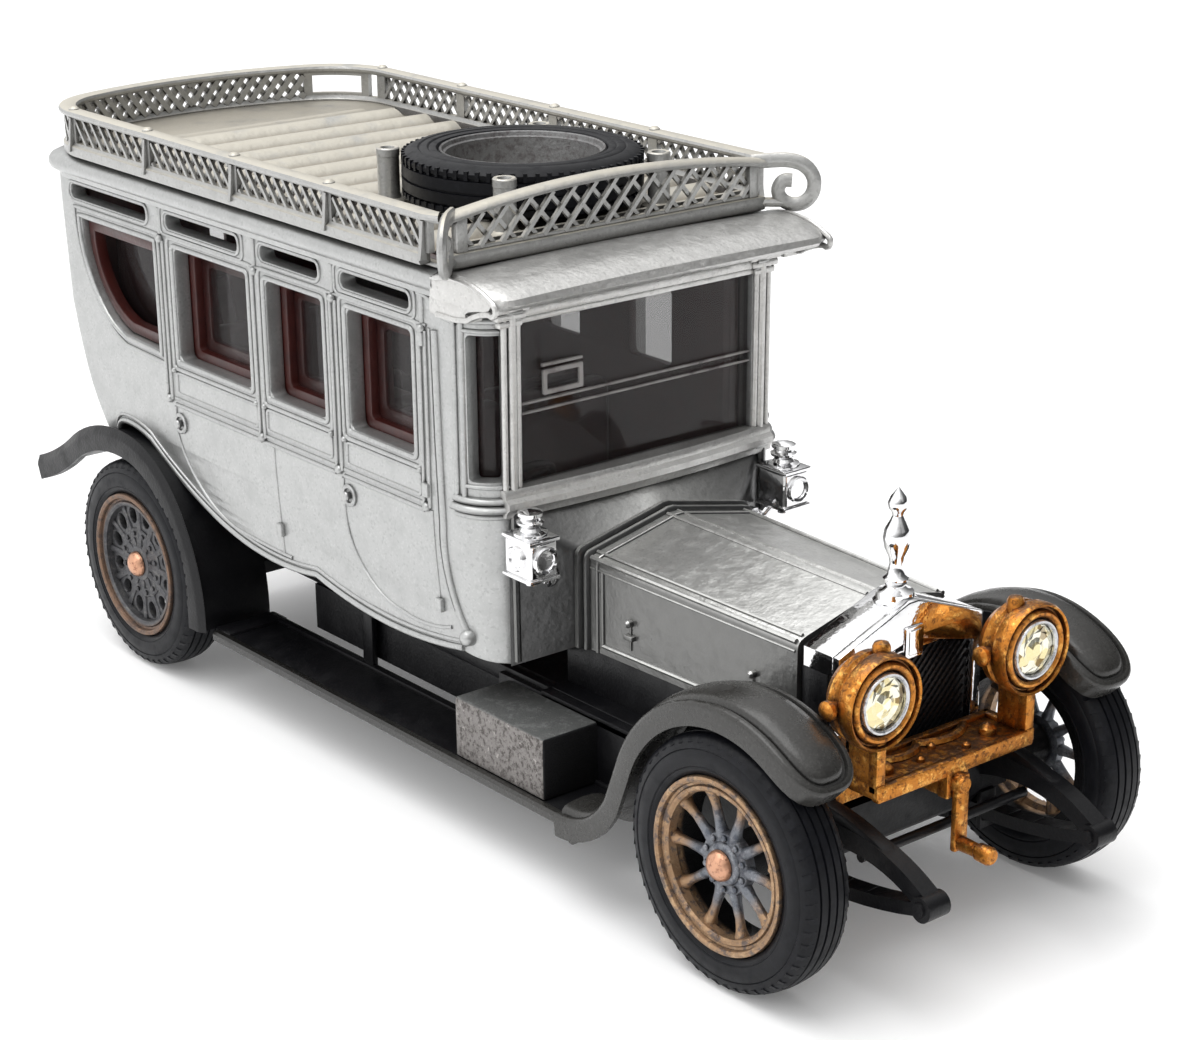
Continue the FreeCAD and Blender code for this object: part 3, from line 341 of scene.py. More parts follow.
class Track:
    """Plan outline walked by distance; distance equals y along the straight flank."""

    def __init__(self, half_w, front, rear, nose, rear_r=None):
        """rear_r gives nearly square rear corners; without it the tail is one broad curve."""
        if rear_r:
            self.flank = rear - REAR_BOW - 0.985 * rear_r
            bend = (half_w - 0.234 * rear_r, self.flank + 0.643 * rear_r)
            tail = (half_w - 0.826 * rear_r, self.flank + 0.985 * rear_r)
        else:
            self.flank = rear - 9.0 * half_w / BODY_W
            bend = (0.93 * half_w, rear - 5.0)
            tail = (0.72 * half_w, rear - 2.1)
        corner = [(half_w - nose + nose * math.sin(math.radians(a)),
                   front + nose - nose * math.cos(math.radians(a))) for a in range(0, 91, 10)]
        self.points = chain([(0, front), (half_w - nose, front)], corner,
                            [(half_w, self.flank)], arc((half_w, self.flank), bend, tail, 10),
                            arc(tail, (0, rear), (-tail[0], tail[1]), 24)[:13])
        dist = distances(self.points)
        flat = next(i for i, p in enumerate(self.points) if abs(p[0] - half_w) < 1e-6)
        shift = self.points[flat][1] - dist[flat]
        self.dist = [d + shift for d in dist]
        self.corner = self.dist[1]
        self.end = self.dist[-1]

    def at(self, s):
        """(x, y, outward x, outward y) at a distance."""
        i, t = between(self.dist, s)
        ax, ay = self.points[i]
        bx, by = self.points[i + 1]
        n0 = self.normal(i)
        n1 = self.normal(i + 1)
        nx, ny = mix(n0[0], n1[0], t), mix(n0[1], n1[1], t)
        size = math.hypot(nx, ny)
        return mix(ax, bx, t), mix(ay, by, t), nx / size, ny / size

    def normal(self, i):
        last = len(self.points) - 1
        if i in (0, last):
            return (0.0, -1.0 if i == 0 else 1.0)
        ax, ay = self.points[i - 1]
        bx, by = self.points[i + 1]
        length = math.hypot(bx - ax, by - ay)
        return ((by - ay) / length, -(bx - ax) / length)

    def walk(self, s0, s1, step=0.8):
        """Distances from s0 to s1, fine enough for the curved ends."""
        n = max(2, int(abs(s1 - s0) / step) + 1)
        return [mix(s0, s1, i / n) for i in range(n + 1)]

    def place(self, s, z, out, side=1):
        """Point at a distance round the plan, a height, and so far outwards."""
        x, y, nx, ny = self.at(s)
        return (side * (x + nx * out), y + ny * out, z)

    def outward(self, places, side):
        """Outward directions at several distances, for the profile of a sweep."""
        return [(side * nx, ny, 0) for x, y, nx, ny in (self.at(s) for s in places)]


COACH = Track(BODY_W, BODY_FRONT, BODY_REAR, CORNER_R, 1.5)
CORNICE = Track(BODY_W, BODY_FRONT, BODY_REAR - 0.5, CORNER_R, 2.4)
RACK = Track(RACK_W, RACK_FRONT, RACK_REAR, 1.0)


def rear_tuck(z):
    """How far the tail of the coachwork draws in at a height: the carriage curve."""
    if z > 34:
        return max(0.0, 0.6 - (z - 34) * 0.06)
    return 0.6 + 0.25 * (34 - z) + 0.0011 * (34 - z) ** 3


def coach(s, z, out, side=1):
    """Point on the coachwork: distance round the plan, height, distance outwards."""
    x, y, nx, ny = COACH.at(s)
    draw = rear_tuck(z) * smooth((y - 42.0) / 10.5)
    tuck = 0.5 * smooth((27 - z) / 12) * abs(nx)
    return (side * (x - tuck * nx + nx * out), y - draw + ny * out, z)


def on_coach(side):
    return lambda a, b, h: coach(a, b, h, side)


def side_plane(x, side):
    """Places (y, z, outwards) points of a plate standing along the car."""
    return lambda a, b, h: (side * (x + h), a, b)


def front_plane(y):
    """Places (x, z, forwards) points of a plate standing across the car."""
    return lambda a, b, h: (a, y - h, b)


def level(a, b, h):
    """Places the points of a plate lying flat."""
    return (a, b, h)


# ------------------------------------------------------------------ materials
class Look:
    """A node material built from a few procedural layers."""

    def __init__(self, name, colour, rough=0.4, metallic=0.0, coat=0.0, shine=None, alpha=1.0):
        self.mat = bpy.data.materials.new(name)
        self.mat.use_nodes = True
        self.tree = self.mat.node_tree
        self.bsdf = self.tree.nodes["Principled BSDF"]
        self.where = self.node("ShaderNodeTexCoord").outputs["Object"]
        self.colour = self.node("ShaderNodeRGB").outputs[0]
        self.colour.default_value = (*colour, 1)
        self.rough = self.node("ShaderNodeValue").outputs[0]
        self.rough.default_value = rough
        self.normal = None
        self.set("Metallic", metallic)
        self.set("Coat Weight", coat)
        self.set("Coat Roughness", 0.25)
        self.set("Alpha", alpha)
        if shine is not None:
            self.set("Specular IOR Level", shine)

    def set(self, socket, value):
        self.bsdf.inputs[socket].default_value = value

    def node(self, kind, **settings):
        n = self.tree.nodes.new(kind)
        for key, value in settings.items():
            setattr(n, key, value)
        return n

    def link(self, a, b):
        self.tree.links.new(a, b)

    def math(self, operation, a, b=0.0):
        """Result of a two-way sum; each side is a number or another node's output."""
        n = self.node("ShaderNodeMath", operation=operation)
        for socket, value in zip(n.inputs, (a, b)):
            if isinstance(value, float):
                socket.default_value = value
            else:
                self.link(value, socket)
        return n.outputs[0]

    def times(self, a, b):
        return self.math("MULTIPLY", a, b)

    def inverse(self, fac):
        return self.math("SUBTRACT", 1.0, fac)

    def ramp(self, fac, low, high):
        """0 below low, 1 above high, of a signal."""
        n = self.node("ShaderNodeMapRange", interpolation_type="SMOOTHSTEP")
        n.inputs["From Min"].default_value = low
        n.inputs["From Max"].default_value = high
        self.link(fac, n.inputs["Value"])
        return n.outputs[0]

    def noise(self, size_mm, detail=4.0, rough=0.6):
        n = self.node("ShaderNodeTexNoise")
        n.inputs["Scale"].default_value = 1.0 / (size_mm * MM)
        n.inputs["Detail"].default_value = detail
        n.inputs["Roughness"].default_value = rough
        self.link(self.where, n.inputs["Vector"])
        return n.outputs["Fac"]

    def flakes(self, size_mm, low, high):
        """Scattered cells of even brightness."""
        n = self.node("ShaderNodeTexVoronoi")
        n.inputs["Scale"].default_value = 1.0 / (size_mm * MM)
        self.link(self.where, n.inputs["Vector"])
        grey = self.node("ShaderNodeSeparateColor")
        self.link(n.outputs["Color"], grey.inputs[0])
        return self.ramp(grey.outputs[0], low, high)

    def spots(self, size_mm, low, high, detail=4.0, rough=0.6):
        """Patches of noise with an edge between two levels."""
        return self.ramp(self.noise(size_mm, detail, rough), low, high)

    def recess(self, reach_mm, low, high):
        """1 in tight corners and grooves, 0 on open faces."""
        n = self.node("ShaderNodeAmbientOcclusion", samples=4)
        n.inputs["Distance"].default_value = reach_mm * MM
        return self.ramp(self.inverse(n.outputs["AO"]), low, high)

    def facing(self, axis):
        """Component of the surface direction along a frame axis, -1 to 1."""
        split = self.node("ShaderNodeSeparateXYZ")
        self.link(self.node("ShaderNodeNewGeometry").outputs["Normal"], split.inputs[0])
        return split.outputs[axis]

    def upward(self, low, high):
        return self.ramp(self.facing(2), low, high)

    def ahead(self, low, high):
        """1 on faces that look towards the front of the car."""
        return self.ramp(self.times(self.facing(1), -1.0), low, high)

    def place(self, axis):
        split = self.node("ShaderNodeSeparateXYZ")
        self.link(self.where, split.inputs[0])
        return split.outputs[axis]

    def height(self, low_mm, high_mm):
        """0 below a height above the ground, 1 above another."""
        return self.ramp(self.place(2), low_mm * MM, high_mm * MM)

    def outboard(self, low_mm, high_mm):
        """0 near the middle of the car, 1 towards its sides."""
        return self.ramp(self.math("ABSOLUTE", self.place(0)), low_mm * MM, high_mm * MM)

    def away(self, y, z, low_mm, high_mm):
        """0 near an axle line lying across the car, 1 beyond a distance from it."""
        last = self.where
        for operation, amount in (("SUBTRACT", (0, y * MM, z * MM)), ("MULTIPLY", (0, 1, 1)),
                                  ("LENGTH", (0, 0, 0))):
            n = self.node("ShaderNodeVectorMath", operation=operation)
            n.inputs[1].default_value = amount
            self.link(last, n.inputs[0])
            last = n.outputs["Value" if operation == "LENGTH" else "Vector"]
        return self.ramp(last, low_mm * MM, high_mm * MM)

    def tint(self, colour, *facs):
        """Lays another colour over the present one where every fac is high."""
        fac = facs[0]
        for other in facs[1:]:
            fac = self.times(fac, other)
        n = self.node("ShaderNodeMix", data_type="RGBA")
        self.link(fac, n.inputs[0])
        self.link(self.colour, n.inputs[6])
        n.inputs[7].default_value = (*colour, 1)
        self.colour = n.outputs[2]

    def roughen(self, rough, fac):
        n = self.node("ShaderNodeMix", data_type="FLOAT")
        self.link(fac, n.inputs[0])
        self.link(self.rough, n.inputs[2])
        n.inputs[3].default_value = rough
        self.rough = n.outputs[0]

    def bump(self, height_mm, size_mm, detail=4.0, rough=0.6):
        """Surface relief from noise of one size."""
        n = self.node("ShaderNodeBump")
        n.inputs["Distance"].default_value = height_mm * MM
        n.inputs["Strength"].default_value = 1.0
        self.link(self.noise(size_mm, detail, rough), n.inputs["Height"])
        if self.normal is not None:
            self.link(self.normal, n.inputs["Normal"])
        self.normal = n.outputs[0]

    def done(self):
        self.link(self.colour, self.bsdf.inputs["Base Color"])
        self.link(self.rough, self.bsdf.inputs["Roughness"])
        if self.normal is not None:
            self.link(self.normal, self.bsdf.inputs["Normal"])
        return self.mat


def silver(name, colour, pits, corner_shade, metallic):
    """Sprayed silver enamel: fine metal flake, cast skin, painted grey shade in the corners."""
    look = Look(name, colour, 0.30, metallic, 0.15)

    def shade(k):
        return [c * k for c in colour]

    look.tint(shade(1.10), look.flakes(0.16, 0.72, 0.98))
    look.tint(shade(0.86), look.flakes(0.21, 0.80, 1.0))
    look.tint(shade(0.90), look.spots(2.6, 0.45, 0.75))
    # painted shade: corners and grooves darkened towards near black
    look.tint(shade(0.16), look.recess(0.8, 0.22, 0.7), corner_shade)
    look.roughen(0.42, look.spots(1.2, 0.4, 0.7))
    look.bump(0.016 * pits, 0.32, 3)
    look.bump(0.05 * pits, 1.5, 2)
    return look


def silver_body():
    return silver("silver_body", (0.44, 0.445, 0.44), 1.0, 0.85, 0.75).done()


def silver_cab_painted_light():
    """Same silver paint made lighter as painted light on the canopy and windscreen frame, and
    grainier.
    """
    # painted light: lighter base colour than the body silver
    return silver("silver_cab_painted_light", (0.58, 0.575, 0.56), 2.2, 0.85, 0.7).done()


def silver_bonnet():
    """Greyer paint, chipped to black: lighter on the slopes as painted light, painted shade on the
    upright sides and darker still on faces turned to the front.
    """
    look = silver("silver_bonnet", (0.74, 0.74, 0.72), 1.6, 0.8, 0.8)
    # painted shade: faces that do not look upwards are darkened
    look.tint((0.175, 0.175, 0.17), look.inverse(look.upward(0.15, 0.6)))
    # painted shade: faces turned to the front are darkened further
    look.tint((0.085, 0.085, 0.085), look.ahead(0.5, 0.9))
    look.tint((0.02, 0.02, 0.02), look.spots(2.1, 0.71, 0.74, 5, 0.7), look.spots(0.7, 0.5, 0.6, 3))
    return look.done()


def silver_rack():
    """Cast rack: cooler below, its tops worn to warm beige and made lighter by painted light from
    above, painted brown shadow in the valleys, painted shade in deep corners.
    """
    look = silver("silver_rack", (0.40, 0.40, 0.39), 2.0, 0.9, 0.6)
    # upward faces lighter and warm beige: partly wear, partly painted light from above
    worn_and_lit_tops = look.times(look.upward(0.5, 0.95), look.spots(3.0, 0.15, 0.5))
    look.tint((0.56, 0.53, 0.46), worn_and_lit_tops)
    # painted shadow: the low valleys between the floor ribs darkened to brown-grey
    valley_shadow = look.times(look.upward(0.5, 0.95), look.inverse(look.height(49.45, 49.95)))
    look.tint((0.25, 0.22, 0.175), valley_shadow, 0.8)
    look.tint((0.20, 0.15, 0.10), look.spots(0.5, 0.71, 0.80, 6, 0.75))
    # painted shade: deep corners and the gaps of the lattice darkened
    look.tint((0.055, 0.048, 0.038), look.recess(2.0, 0.38, 0.8), 0.8)
    look.roughen(0.55, worn_and_lit_tops)
    return look.done()


def gilt():
    """Gold wash with patches of brown stain and brown stain on the level top; bright gold patches are
    painted highlights and the hollows carry painted dark brown shade.
    """
    look = Look("antique_gilt", (0.52, 0.195, 0.032), 0.30, 0.9)
    # painted highlights: scattered bright gold patches
    look.tint((0.88, 0.46, 0.11), look.spots(0.8, 0.50, 0.66, 6, 0.7))
    stain = look.spots(0.55, 0.50, 0.62, 6, 0.75)
    look.tint((0.13, 0.052, 0.020), stain, 0.8)
    look.tint((0.16, 0.080, 0.040), look.upward(0.6, 0.95), look.spots(0.9, 0.40, 0.56, 6, 0.75))
    # painted shade: hollows darkened to near black brown
    look.tint((0.035, 0.014, 0.008), look.recess(1.2, 0.22, 0.62), 0.95)
    look.roughen(0.55, stain)
    look.bump(0.05, 0.25)
    look.bump(0.08, 0.9, 3)
    return look.done()


def chrome():
    look = Look("chrome_plate", (0.88, 0.88, 0.89), 0.06, 1.0)
    # painted shade: corners of the plating darkened
    look.tint((0.55, 0.53, 0.50), look.recess(0.6, 0.35, 0.9), 0.7)
    look.roughen(0.16, look.spots(0.8, 0.5, 0.8))
    look.bump(0.03, 0.9, 2)
    return look.done()


def charcoal(y, z):
    """Dark grey enamel of the wings, with a soft orange-peel skin, blacker far from (y, z)."""
    look = Look("charcoal_enamel", (0.028, 0.027, 0.025), 0.26, 0.15, 0.2, 0.42)
    look.tint((0.046, 0.045, 0.042), look.spots(0.20, 0.45, 0.75, 3))
    look.tint((0.010, 0.0095, 0.009), look.away(y, z, 34, 54), 0.85)
    # painted shade: grooves and corners darkened to near black
    look.tint((0.010, 0.010, 0.010), look.recess(0.9, 0.25, 0.8), 0.85)
    look.roughen(0.42, look.spots(1.6, 0.45, 0.75))
    look.bump(0.024, 0.30, 3)
    return look.done()


def black_enamel():
    look = Look("black_enamel", (0.004, 0.004, 0.005), 0.34, shine=0.3)
    look.tint((0.009, 0.009, 0.010), look.spots(0.35, 0.5, 0.8))
    look.roughen(0.5, look.spots(2.0, 0.4, 0.7))
    look.bump(0.03, 0.28, 3)
    return look.done()


def maroon():
    look = Look("maroon_moulding", (0.052, 0.009, 0.007), 0.32, coat=0.2)
    look.tint((0.036, 0.006, 0.005), look.spots(1.8, 0.4, 0.7, 3))
    look.tint((0.11, 0.030, 0.022), look.spots(0.4, 0.60, 0.75, 5), 0.5)
    look.bump(0.03, 0.5, 3)
    return look.done()


def rubber():
    """Blue-black tyre rubber, faintly shiny on the wall."""
    look = Look("tyre_rubber", (0.0035, 0.0038, 0.0055), 0.42, shine=0.2)
    look.tint((0.007, 0.0075, 0.0105), look.spots(0.6, 0.45, 0.75, 5))
    look.roughen(0.56, look.spots(1.1, 0.45, 0.7))
    look.bump(0.008, 0.22, 3)
    return look.done()


def wheel_metal(look, patina, low, high, amount):
    """Dark patches, painted shade in the corners and a black inner side, common to all the wheels."""
    look.tint(patina, look.spots(0.8, low, high, 6, 0.7), amount)
    # painted shade: corners between spokes, hub and felloe darkened
    look.tint((0.010, 0.010, 0.012), look.recess(0.8, 0.28, 0.75), 0.95)
    look.tint((0.008, 0.008, 0.009), look.inverse(look.outboard(16.2, 16.7)))
    look.roughen(0.6, look.spots(0.5, 0.45, 0.7))
    look.bump(0.05, 0.2)
    return look.done()


def front_wheel(y, z):
    """Worn plated wheel: bronze felloe and spoke ends, blue-grey patina towards the hub."""
    look = Look("rim_bronze", (0.17, 0.18, 0.20), 0.38, 0.75)
    look.tint((0.30, 0.31, 0.33), look.spots(0.5, 0.52, 0.64, 6, 0.75))
    look.tint((0.34, 0.215, 0.125), look.away(y, z, 3.2, 5.2))
    look.tint((0.50, 0.34, 0.20), look.spots(0.7, 0.50, 0.66, 5, 0.7), look.away(y, z, 4.4, 6.4))
    return wheel_metal(look, (0.05, 0.06, 0.08), 0.48, 0.62, 0.7)


def rear_wheel(y, z):
    """Dull grey pierced disc inside a red-brown felloe."""
    look = Look("rim_rear_bronze", (0.10, 0.10, 0.105), 0.45, 0.7)
    look.tint((0.17, 0.165, 0.16), look.spots(0.6, 0.50, 0.66, 6, 0.75))
    look.tint((0.20, 0.125, 0.085), look.away(y, z, 5.9, 6.5))
    return wheel_metal(look, (0.05, 0.05, 0.055), 0.46, 0.62, 0.6)


def copper():
    look = Look("copper_head", (0.62, 0.34, 0.22), 0.32, 0.9)
    look.tint((0.30, 0.14, 0.09), look.spots(0.4, 0.5, 0.7, 5))
    look.bump(0.04, 0.2, 3)
    return look.done()


def zinc():
    """Bare casting: freckled sides, dark mottled top, front end nearly black, partly its own dark
    front and partly painted shade.
    """
    look = Look("bare_zinc", (0.25, 0.235, 0.225), 0.5, 0.6)
    look.tint((0.085, 0.075, 0.07), look.spots(0.5, 0.48, 0.58, 6, 0.8))
    look.tint((0.46, 0.43, 0.41), look.spots(0.6, 0.57, 0.68, 6, 0.8))
    top = look.upward(0.4, 0.8)
    look.tint((0.115, 0.12, 0.118), top, 0.92)
    look.tint((0.20, 0.205, 0.20), top, look.spots(1.0, 0.50, 0.6, 6, 0.8))
    # faces turned to the front nearly black: partly the casting's dark front, partly painted shade
    look.tint((0.010, 0.010, 0.011), look.ahead(0.3, 0.6))
    look.bump(0.12, 0.30, 6, 0.8)
    return look.done()


def window_glass():
    """Thin smoky pane: see-through, with a clear reflection at a glance."""
    look = Look("smoky_pane", (0.020, 0.014, 0.014), 0.04, shine=0.6, alpha=0.34)
    look.roughen(0.09, look.spots(4.0, 0.5, 0.8, 3))
    return look.done()


def pane_bar():
    """Thicker ridges moulded on the panes, painted lighter grey than the pane as a painted highlight
    of the light they catch.
    """
    # painted highlight: grey colour on the clear ridges
    look = Look("pane_ridge", (0.42, 0.40, 0.39), 0.10, alpha=0.6)
    look.tint((0.26, 0.23, 0.23), look.spots(2.4, 0.45, 0.7, 3))
    look.bump(0.02, 0.6, 2)
    return look.done()


def jewel_glass():
    """Foiled crystal: yellow facets, with cells painted dark and nearly white as painted reflections
    and glints.
    """
    look = Look("jewel_crystal", (0.86, 0.74, 0.40), 0.04, 0.75, 1.0)
    # painted reflections: dark cells
    look.tint((0.25, 0.16, 0.04), look.flakes(0.9, 0.62, 0.66))
    # painted glints: nearly white cells
    look.tint((0.95, 0.92, 0.74), look.flakes(0.7, 0.55, 0.6))
    return look.done()


def bright_ring():
    look = Look("bright_ring", (0.62, 0.62, 0.63), 0.26, 0.9)
    look.tint((0.30, 0.31, 0.33), look.spots(0.4, 0.5, 0.7, 5))
    look.bump(0.03, 0.2, 3)
    return look.done()


def spare_metal():
    look = Look("spare_disc", (0.20, 0.20, 0.20), 0.5, 0.6)
    look.tint((0.12, 0.11, 0.11), look.spots(0.6, 0.45, 0.65, 6, 0.75))
    # painted shade: hollows of the disc darkened
    look.tint((0.02, 0.02, 0.02), look.recess(1.2, 0.3, 0.85), 0.8)
    look.bump(0.08, 0.4, 5)
    return look.done()


M = {
    "body": silver_body(), "cab": silver_cab_painted_light(), "bonnet": silver_bonnet(), "rack": silver_rack(),
    "gilt": gilt(), "chrome": chrome(), "charcoal": charcoal(AXLE_Y["front"], AXLE_Z),
    "black": black_enamel(), "maroon": maroon(), "rubber": rubber(),
    "rim_front": front_wheel(AXLE_Y["front"], AXLE_Z),
    "rim_rear": rear_wheel(AXLE_Y["rear"], AXLE_Z), "copper": copper(), "zinc": zinc(),
    "glass": window_glass(), "bar": pane_bar(), "jewel": jewel_glass(), "ring": bright_ring(),
    "spare": spare_metal(),
}


# ------------------------------------------------------------------ coachwork
def fine(points, step=0.7):
    """Adds points along the straight parts of a path so that it can bend."""
    out = [tuple(points[0])]
    for a, b in zip(points, points[1:]):
        n = max(1, int(math.dist(a, b) / step))
        out += [tuple(mix(p, q, i / n) for p, q in zip(a, b)) for i in range(1, n + 1)]
    return out


def half_round(r, lift=1.0, n=6):
    """Low bead: flat against the wall, round above it."""
    top = [(r * math.cos(math.pi * i / n), lift * r * math.sin(math.pi * i / n))
           for i in range(n + 1)]
    return top + [(-r, -0.25), (r, -0.25)]


def bead(shape, points, r, side, lift=1.0, loop=False, step=0.7):
    """Moulding laid on the coachwork along (distance, height) points."""
    points = fine(list(points) + ([points[0]] if loop else []), step)
    if loop:
        points = points[:-1]
    ups = COACH.outward([s for s, z in points], side)
    shape.sweep([coach(s, z, 0, side) for s, z in points], half_round(r, lift), ups, loop)


def knob(shape, s, z, r, length, side):
    """Small turned stud standing out from the coachwork."""
    profile = [(-0.4, r), (0, r), (length * 0.6, r * 0.92), (length * 0.9, r * 0.6),
               (length, r * 0.1)]
    shape.turn(profile, coach(s, z, 0, side), "x", 14, side)


def grow(outline, d, centre):
    """Outline pushed outwards from a centre by about d."""
    cx, cy = centre
    xs = [p[0] for p in outline]
    ys = [p[1] for p in outline]
    kx = 1 + 2 * d / (max(xs) - min(xs))
    ky = 1 + 2 * d / (max(ys) - min(ys))
    return [(cx + (x - cx) * kx, cy + (y - cy) * ky) for x, y in outline]


def d_window(i=0.0):
    """Rear quarter light, inset by i: straight in front, its lower rear corner swept away."""
    top = (49.0 - i, 42.4 - i)
    return chain([(35.6 + i, 32.3 + i), (35.6 + i, 42.4 - i), top],
                 arc(top, (46.3 - 0.7 * i, 35.1 + 0.5 * i), (40.6, 32.3 + i), 12))[:-1]


LOW_EDGE = chain(
    [(COACH.corner - 0.3, WALL_LOW), (-10.4, 16.2)],
    arc((-10.4, 16.2), (0.8, 15.2), (11.4, 16.5), 14),
    arc((11.4, 16.5), (19.5, 16.0), (27.0, 17.2), 12),
    arc((27.0, 17.2), (33.5, 19.7), (38.6, 22.6), 10),
    arc((38.6, 22.6), (44.0, 23.3), (48.9, 21.4), 10),
    [(COACH.end + 0.12, 21.4)],
)


def wall(shape, side):
    """One flank with half the tail: openings for the lights and vents, curved lower edge."""
    end = COACH.end + 0.12
    outline = chain(LOW_EDGE, [(end, 34.0), (end - 6.5, 34.0), (end - 6.5, 42.0), (end, 42.0),
                               (end, WALL_TOP), (COACH.corner - 0.3, WALL_TOP)])
    holes = [rounded(y0, y1, GLASS_LOW, GLASS_TOP, 0.7) for y0, y1 in DOORS]
    holes.append(d_window())
    holes += [rounded(y0, y1, 44.25, 45.55, 0.6) for y0, y1 in VENTS]
    holes.append(rounded(*CORNER_LIGHT, 31.5, 43.6, 0.4))
    bends = [mix(COACH.corner, -10.8, i / 14) for i in range(15)]
    bends += [mix(43.0, end, i / 34) for i in range(34)]
    bends += [mix(COACH.flank, COACH.flank + 2.5, (i + 0.5) / 9) for i in range(9)]
    heights = [WALL_LOW + i for i in range(20)]
    shape.plate([outline] + holes, -1.6, 0.0, on_coach(side), 0.14, bends, heights)


def window_trim(shape, side):
    """Doubled mouldings round every window, belt panels and vent frames."""
    for y0, y1 in DOORS:
        for off, r in ((0.30, 0.24), (0.95, 0.22)):
            bead(shape, rounded(y0 - off, y1 + off, GLASS_LOW - off, GLASS_TOP + off, 0.5), r,
                 side, 0.9, True, 3)
        bead(shape, rounded(y0 - 0.7, y1 + 0.7, 28.75, 30.75, 0.35), 0.17, side, 0.8, True, 3)
        for z, r in ((28.2, 0.17), (27.6, 0.20)):
            bead(shape, [(y0 - 1.2, z), (y1 + 1.2, z)], r, side, 0.9, False, 3)
        for s in (y0 - 0.85, y1 + 0.85):
            knob(shape, s, 31.0, 0.28, 0.42, side)
    for off, r in ((0.35, 0.26), (1.05, 0.22)):
        bead(shape, grow(d_window(), off, (42.0, 37.4)), r, side, 0.9, True, 1.2)
    for k, (y0, y1) in enumerate(VENTS):
        bead(shape, rounded(y0 - 0.3, y1 + 0.3, 43.95, 45.85, 0.8), 0.17, side, 0.9, True, 3)
        if k % 2:
            bead(shape, rounded(y0 - 0.85, y1 + 0.85, 43.6, 46.2, 0.6), 0.16, side, 0.9, True, 3)
    for s in (34.2, 18.3, 6.2, -6.6):
        for d in (-0.38, 0.38):
            bead(shape, [(s + d, 28.0), (s + d, 43.0)], 0.19, side, 1.2, False, 3)
        for z in (43.1, 28.0):
            knob(shape, s, z, 0.42, 0.5, side)
        bead(shape, [(s, 43.6), (s, 46.0)], 0.24, side, 0.9, False, 3)
    bead(shape, [(-7.2, 46.35), (50.0, 46.35)], 0.22, side, 1.0, False, 1.5)
    bead(shape, [(-7.2, 43.45), (33.0, 43.45)], 0.15, side, 1.0, False, 3)


def door_trim(shape, side):
    """Shut lines, lower-edge mouldings, hinges and handles."""
    rear_door = chain([(33.4, 27.4), (33.5, 25.0)],
                      arc((33.5, 25.0), (29.6, 19.6), (23.3, 17.5), 12),
                      arc((23.3, 17.5), (18.2, 17.3), (15.3, 17.3), 6))
    front_door = chain([(5.8, 27.4), (5.8, 24.0)],
                       arc((5.8, 24.0), (3.1, 19.0), (-1.3, 17.3), 12),
                       arc((-1.3, 17.3), (-5.0, 17.1), (-8.9, 17.9), 6))
    sweep_line = chain([(-8.3, 43.3), (-8.5, 34.0), (-8.8, 27.0)],
                       arc((-8.8, 27.0), (-9.4, 21.6), (-11.2, 17.9), 10))
    bead(shape, rear_door, 0.17, side, 0.9)
    bead(shape, front_door, 0.17, side, 0.9)
    bead(shape, [(16.7, 27.4), (16.6, 17.4)], 0.13, side, 0.8)
    bead(shape, [(-7.2, 27.8), (-7.5, 19.5)], 0.15, side, 0.8)
    for lift, r in ((0.30, 0.30), (0.92, 0.17)):
        edge = [(s, z + lift) for s, z in LOW_EDGE if -10.5 < s < 48.0]
        bead(shape, edge, r, side, 0.9)
    bead(shape, sweep_line, 0.36, side, 0.9)
    bead(shape, [(s + 0.75, z) for s, z in sweep_line[:-2]], 0.16, side, 0.9)
    knob(shape, -11.3, 17.7, 0.72, 0.9, side)
    for s, z in ((16.6, 19.7), (-7.6, 19.6), (-6.7, 29.5), (-6.6, 42.3)):
        x, y, z = coach(s, z, 0, side)
        shape.block(*sorted((x - side * 0.3, x + side * 0.42)), y - 0.42, y + 0.42, z - 0.6,
                    z + 0.6, 0.12)
    cup = [(-0.3, 1.0), (0.18, 1.0), (0.28, 0.88), (0.22, 0.66), (0.05, 0.6), (0.05, 0.3),
           (0.5, 0.42), (0.62, 0.36), (0.68, 0.05)]
    for s, z in ((32.6, 25.9), (4.9, 26.0)):
        shape.turn(cup, coach(s, z, 0, side), "x", 20, side)


def corner_column(shape, side):
    """Rounded front corner: pilasters, capital, curved ledge and eyebrow spandrel."""
    a, b = CORNER_LIGHT
    for s in (a - 0.4, b + 0.4, b + 1.25):
        bead(shape, [(s, 30.0), (s, 44.6)], 0.26, side, 1.1)
    front = COACH.corner - 0.2
    for z, start, end, r, lift in (
            (31.1, a - 0.4, b + 0.4, 0.20, 1.2), (44.0, a - 0.4, b + 0.4, 0.20, 1.0),
            (29.9, front, -10.6, 0.34, 1.5), (29.25, front, -10.6, 0.40, 2.0),
            (28.6, front, -10.6, 0.28, 1.2), (44.85, front, -10.4, 0.30, 1.2),
            (45.5, front, -10.4, 0.34, 1.9), (46.1, front, -10.4, 0.30, 2.6)):
        bead(shape, [(start, z), (end, z)], r, side, lift, False, 0.3)
    brow = chain([(-6.2, 46.0)], arc((-6.2, 46.0), (-8.2, 45.6), (-9.6, 44.6), 6),
                 [(-11.2, 44.5)])
    bead(shape, brow, 0.24, side, 1.2, False, 0.3)


def cornice(shape, side):
    """Roof moulding carried round the top of the coachwork."""
    profile = [(0.0, 45.95), (0.35, 46.1), (0.55, 46.6), (1.0, 46.85), (1.35, 47.1),
               (1.5, 47.5), (1.42, 47.95), (1.15, 48.3), (0.5, 48.6), (-1.6, 48.65),
               (-1.6, 45.95)]
    shape.band(CORNICE, side, -10.0, CORNICE.end, profile, 0.4)


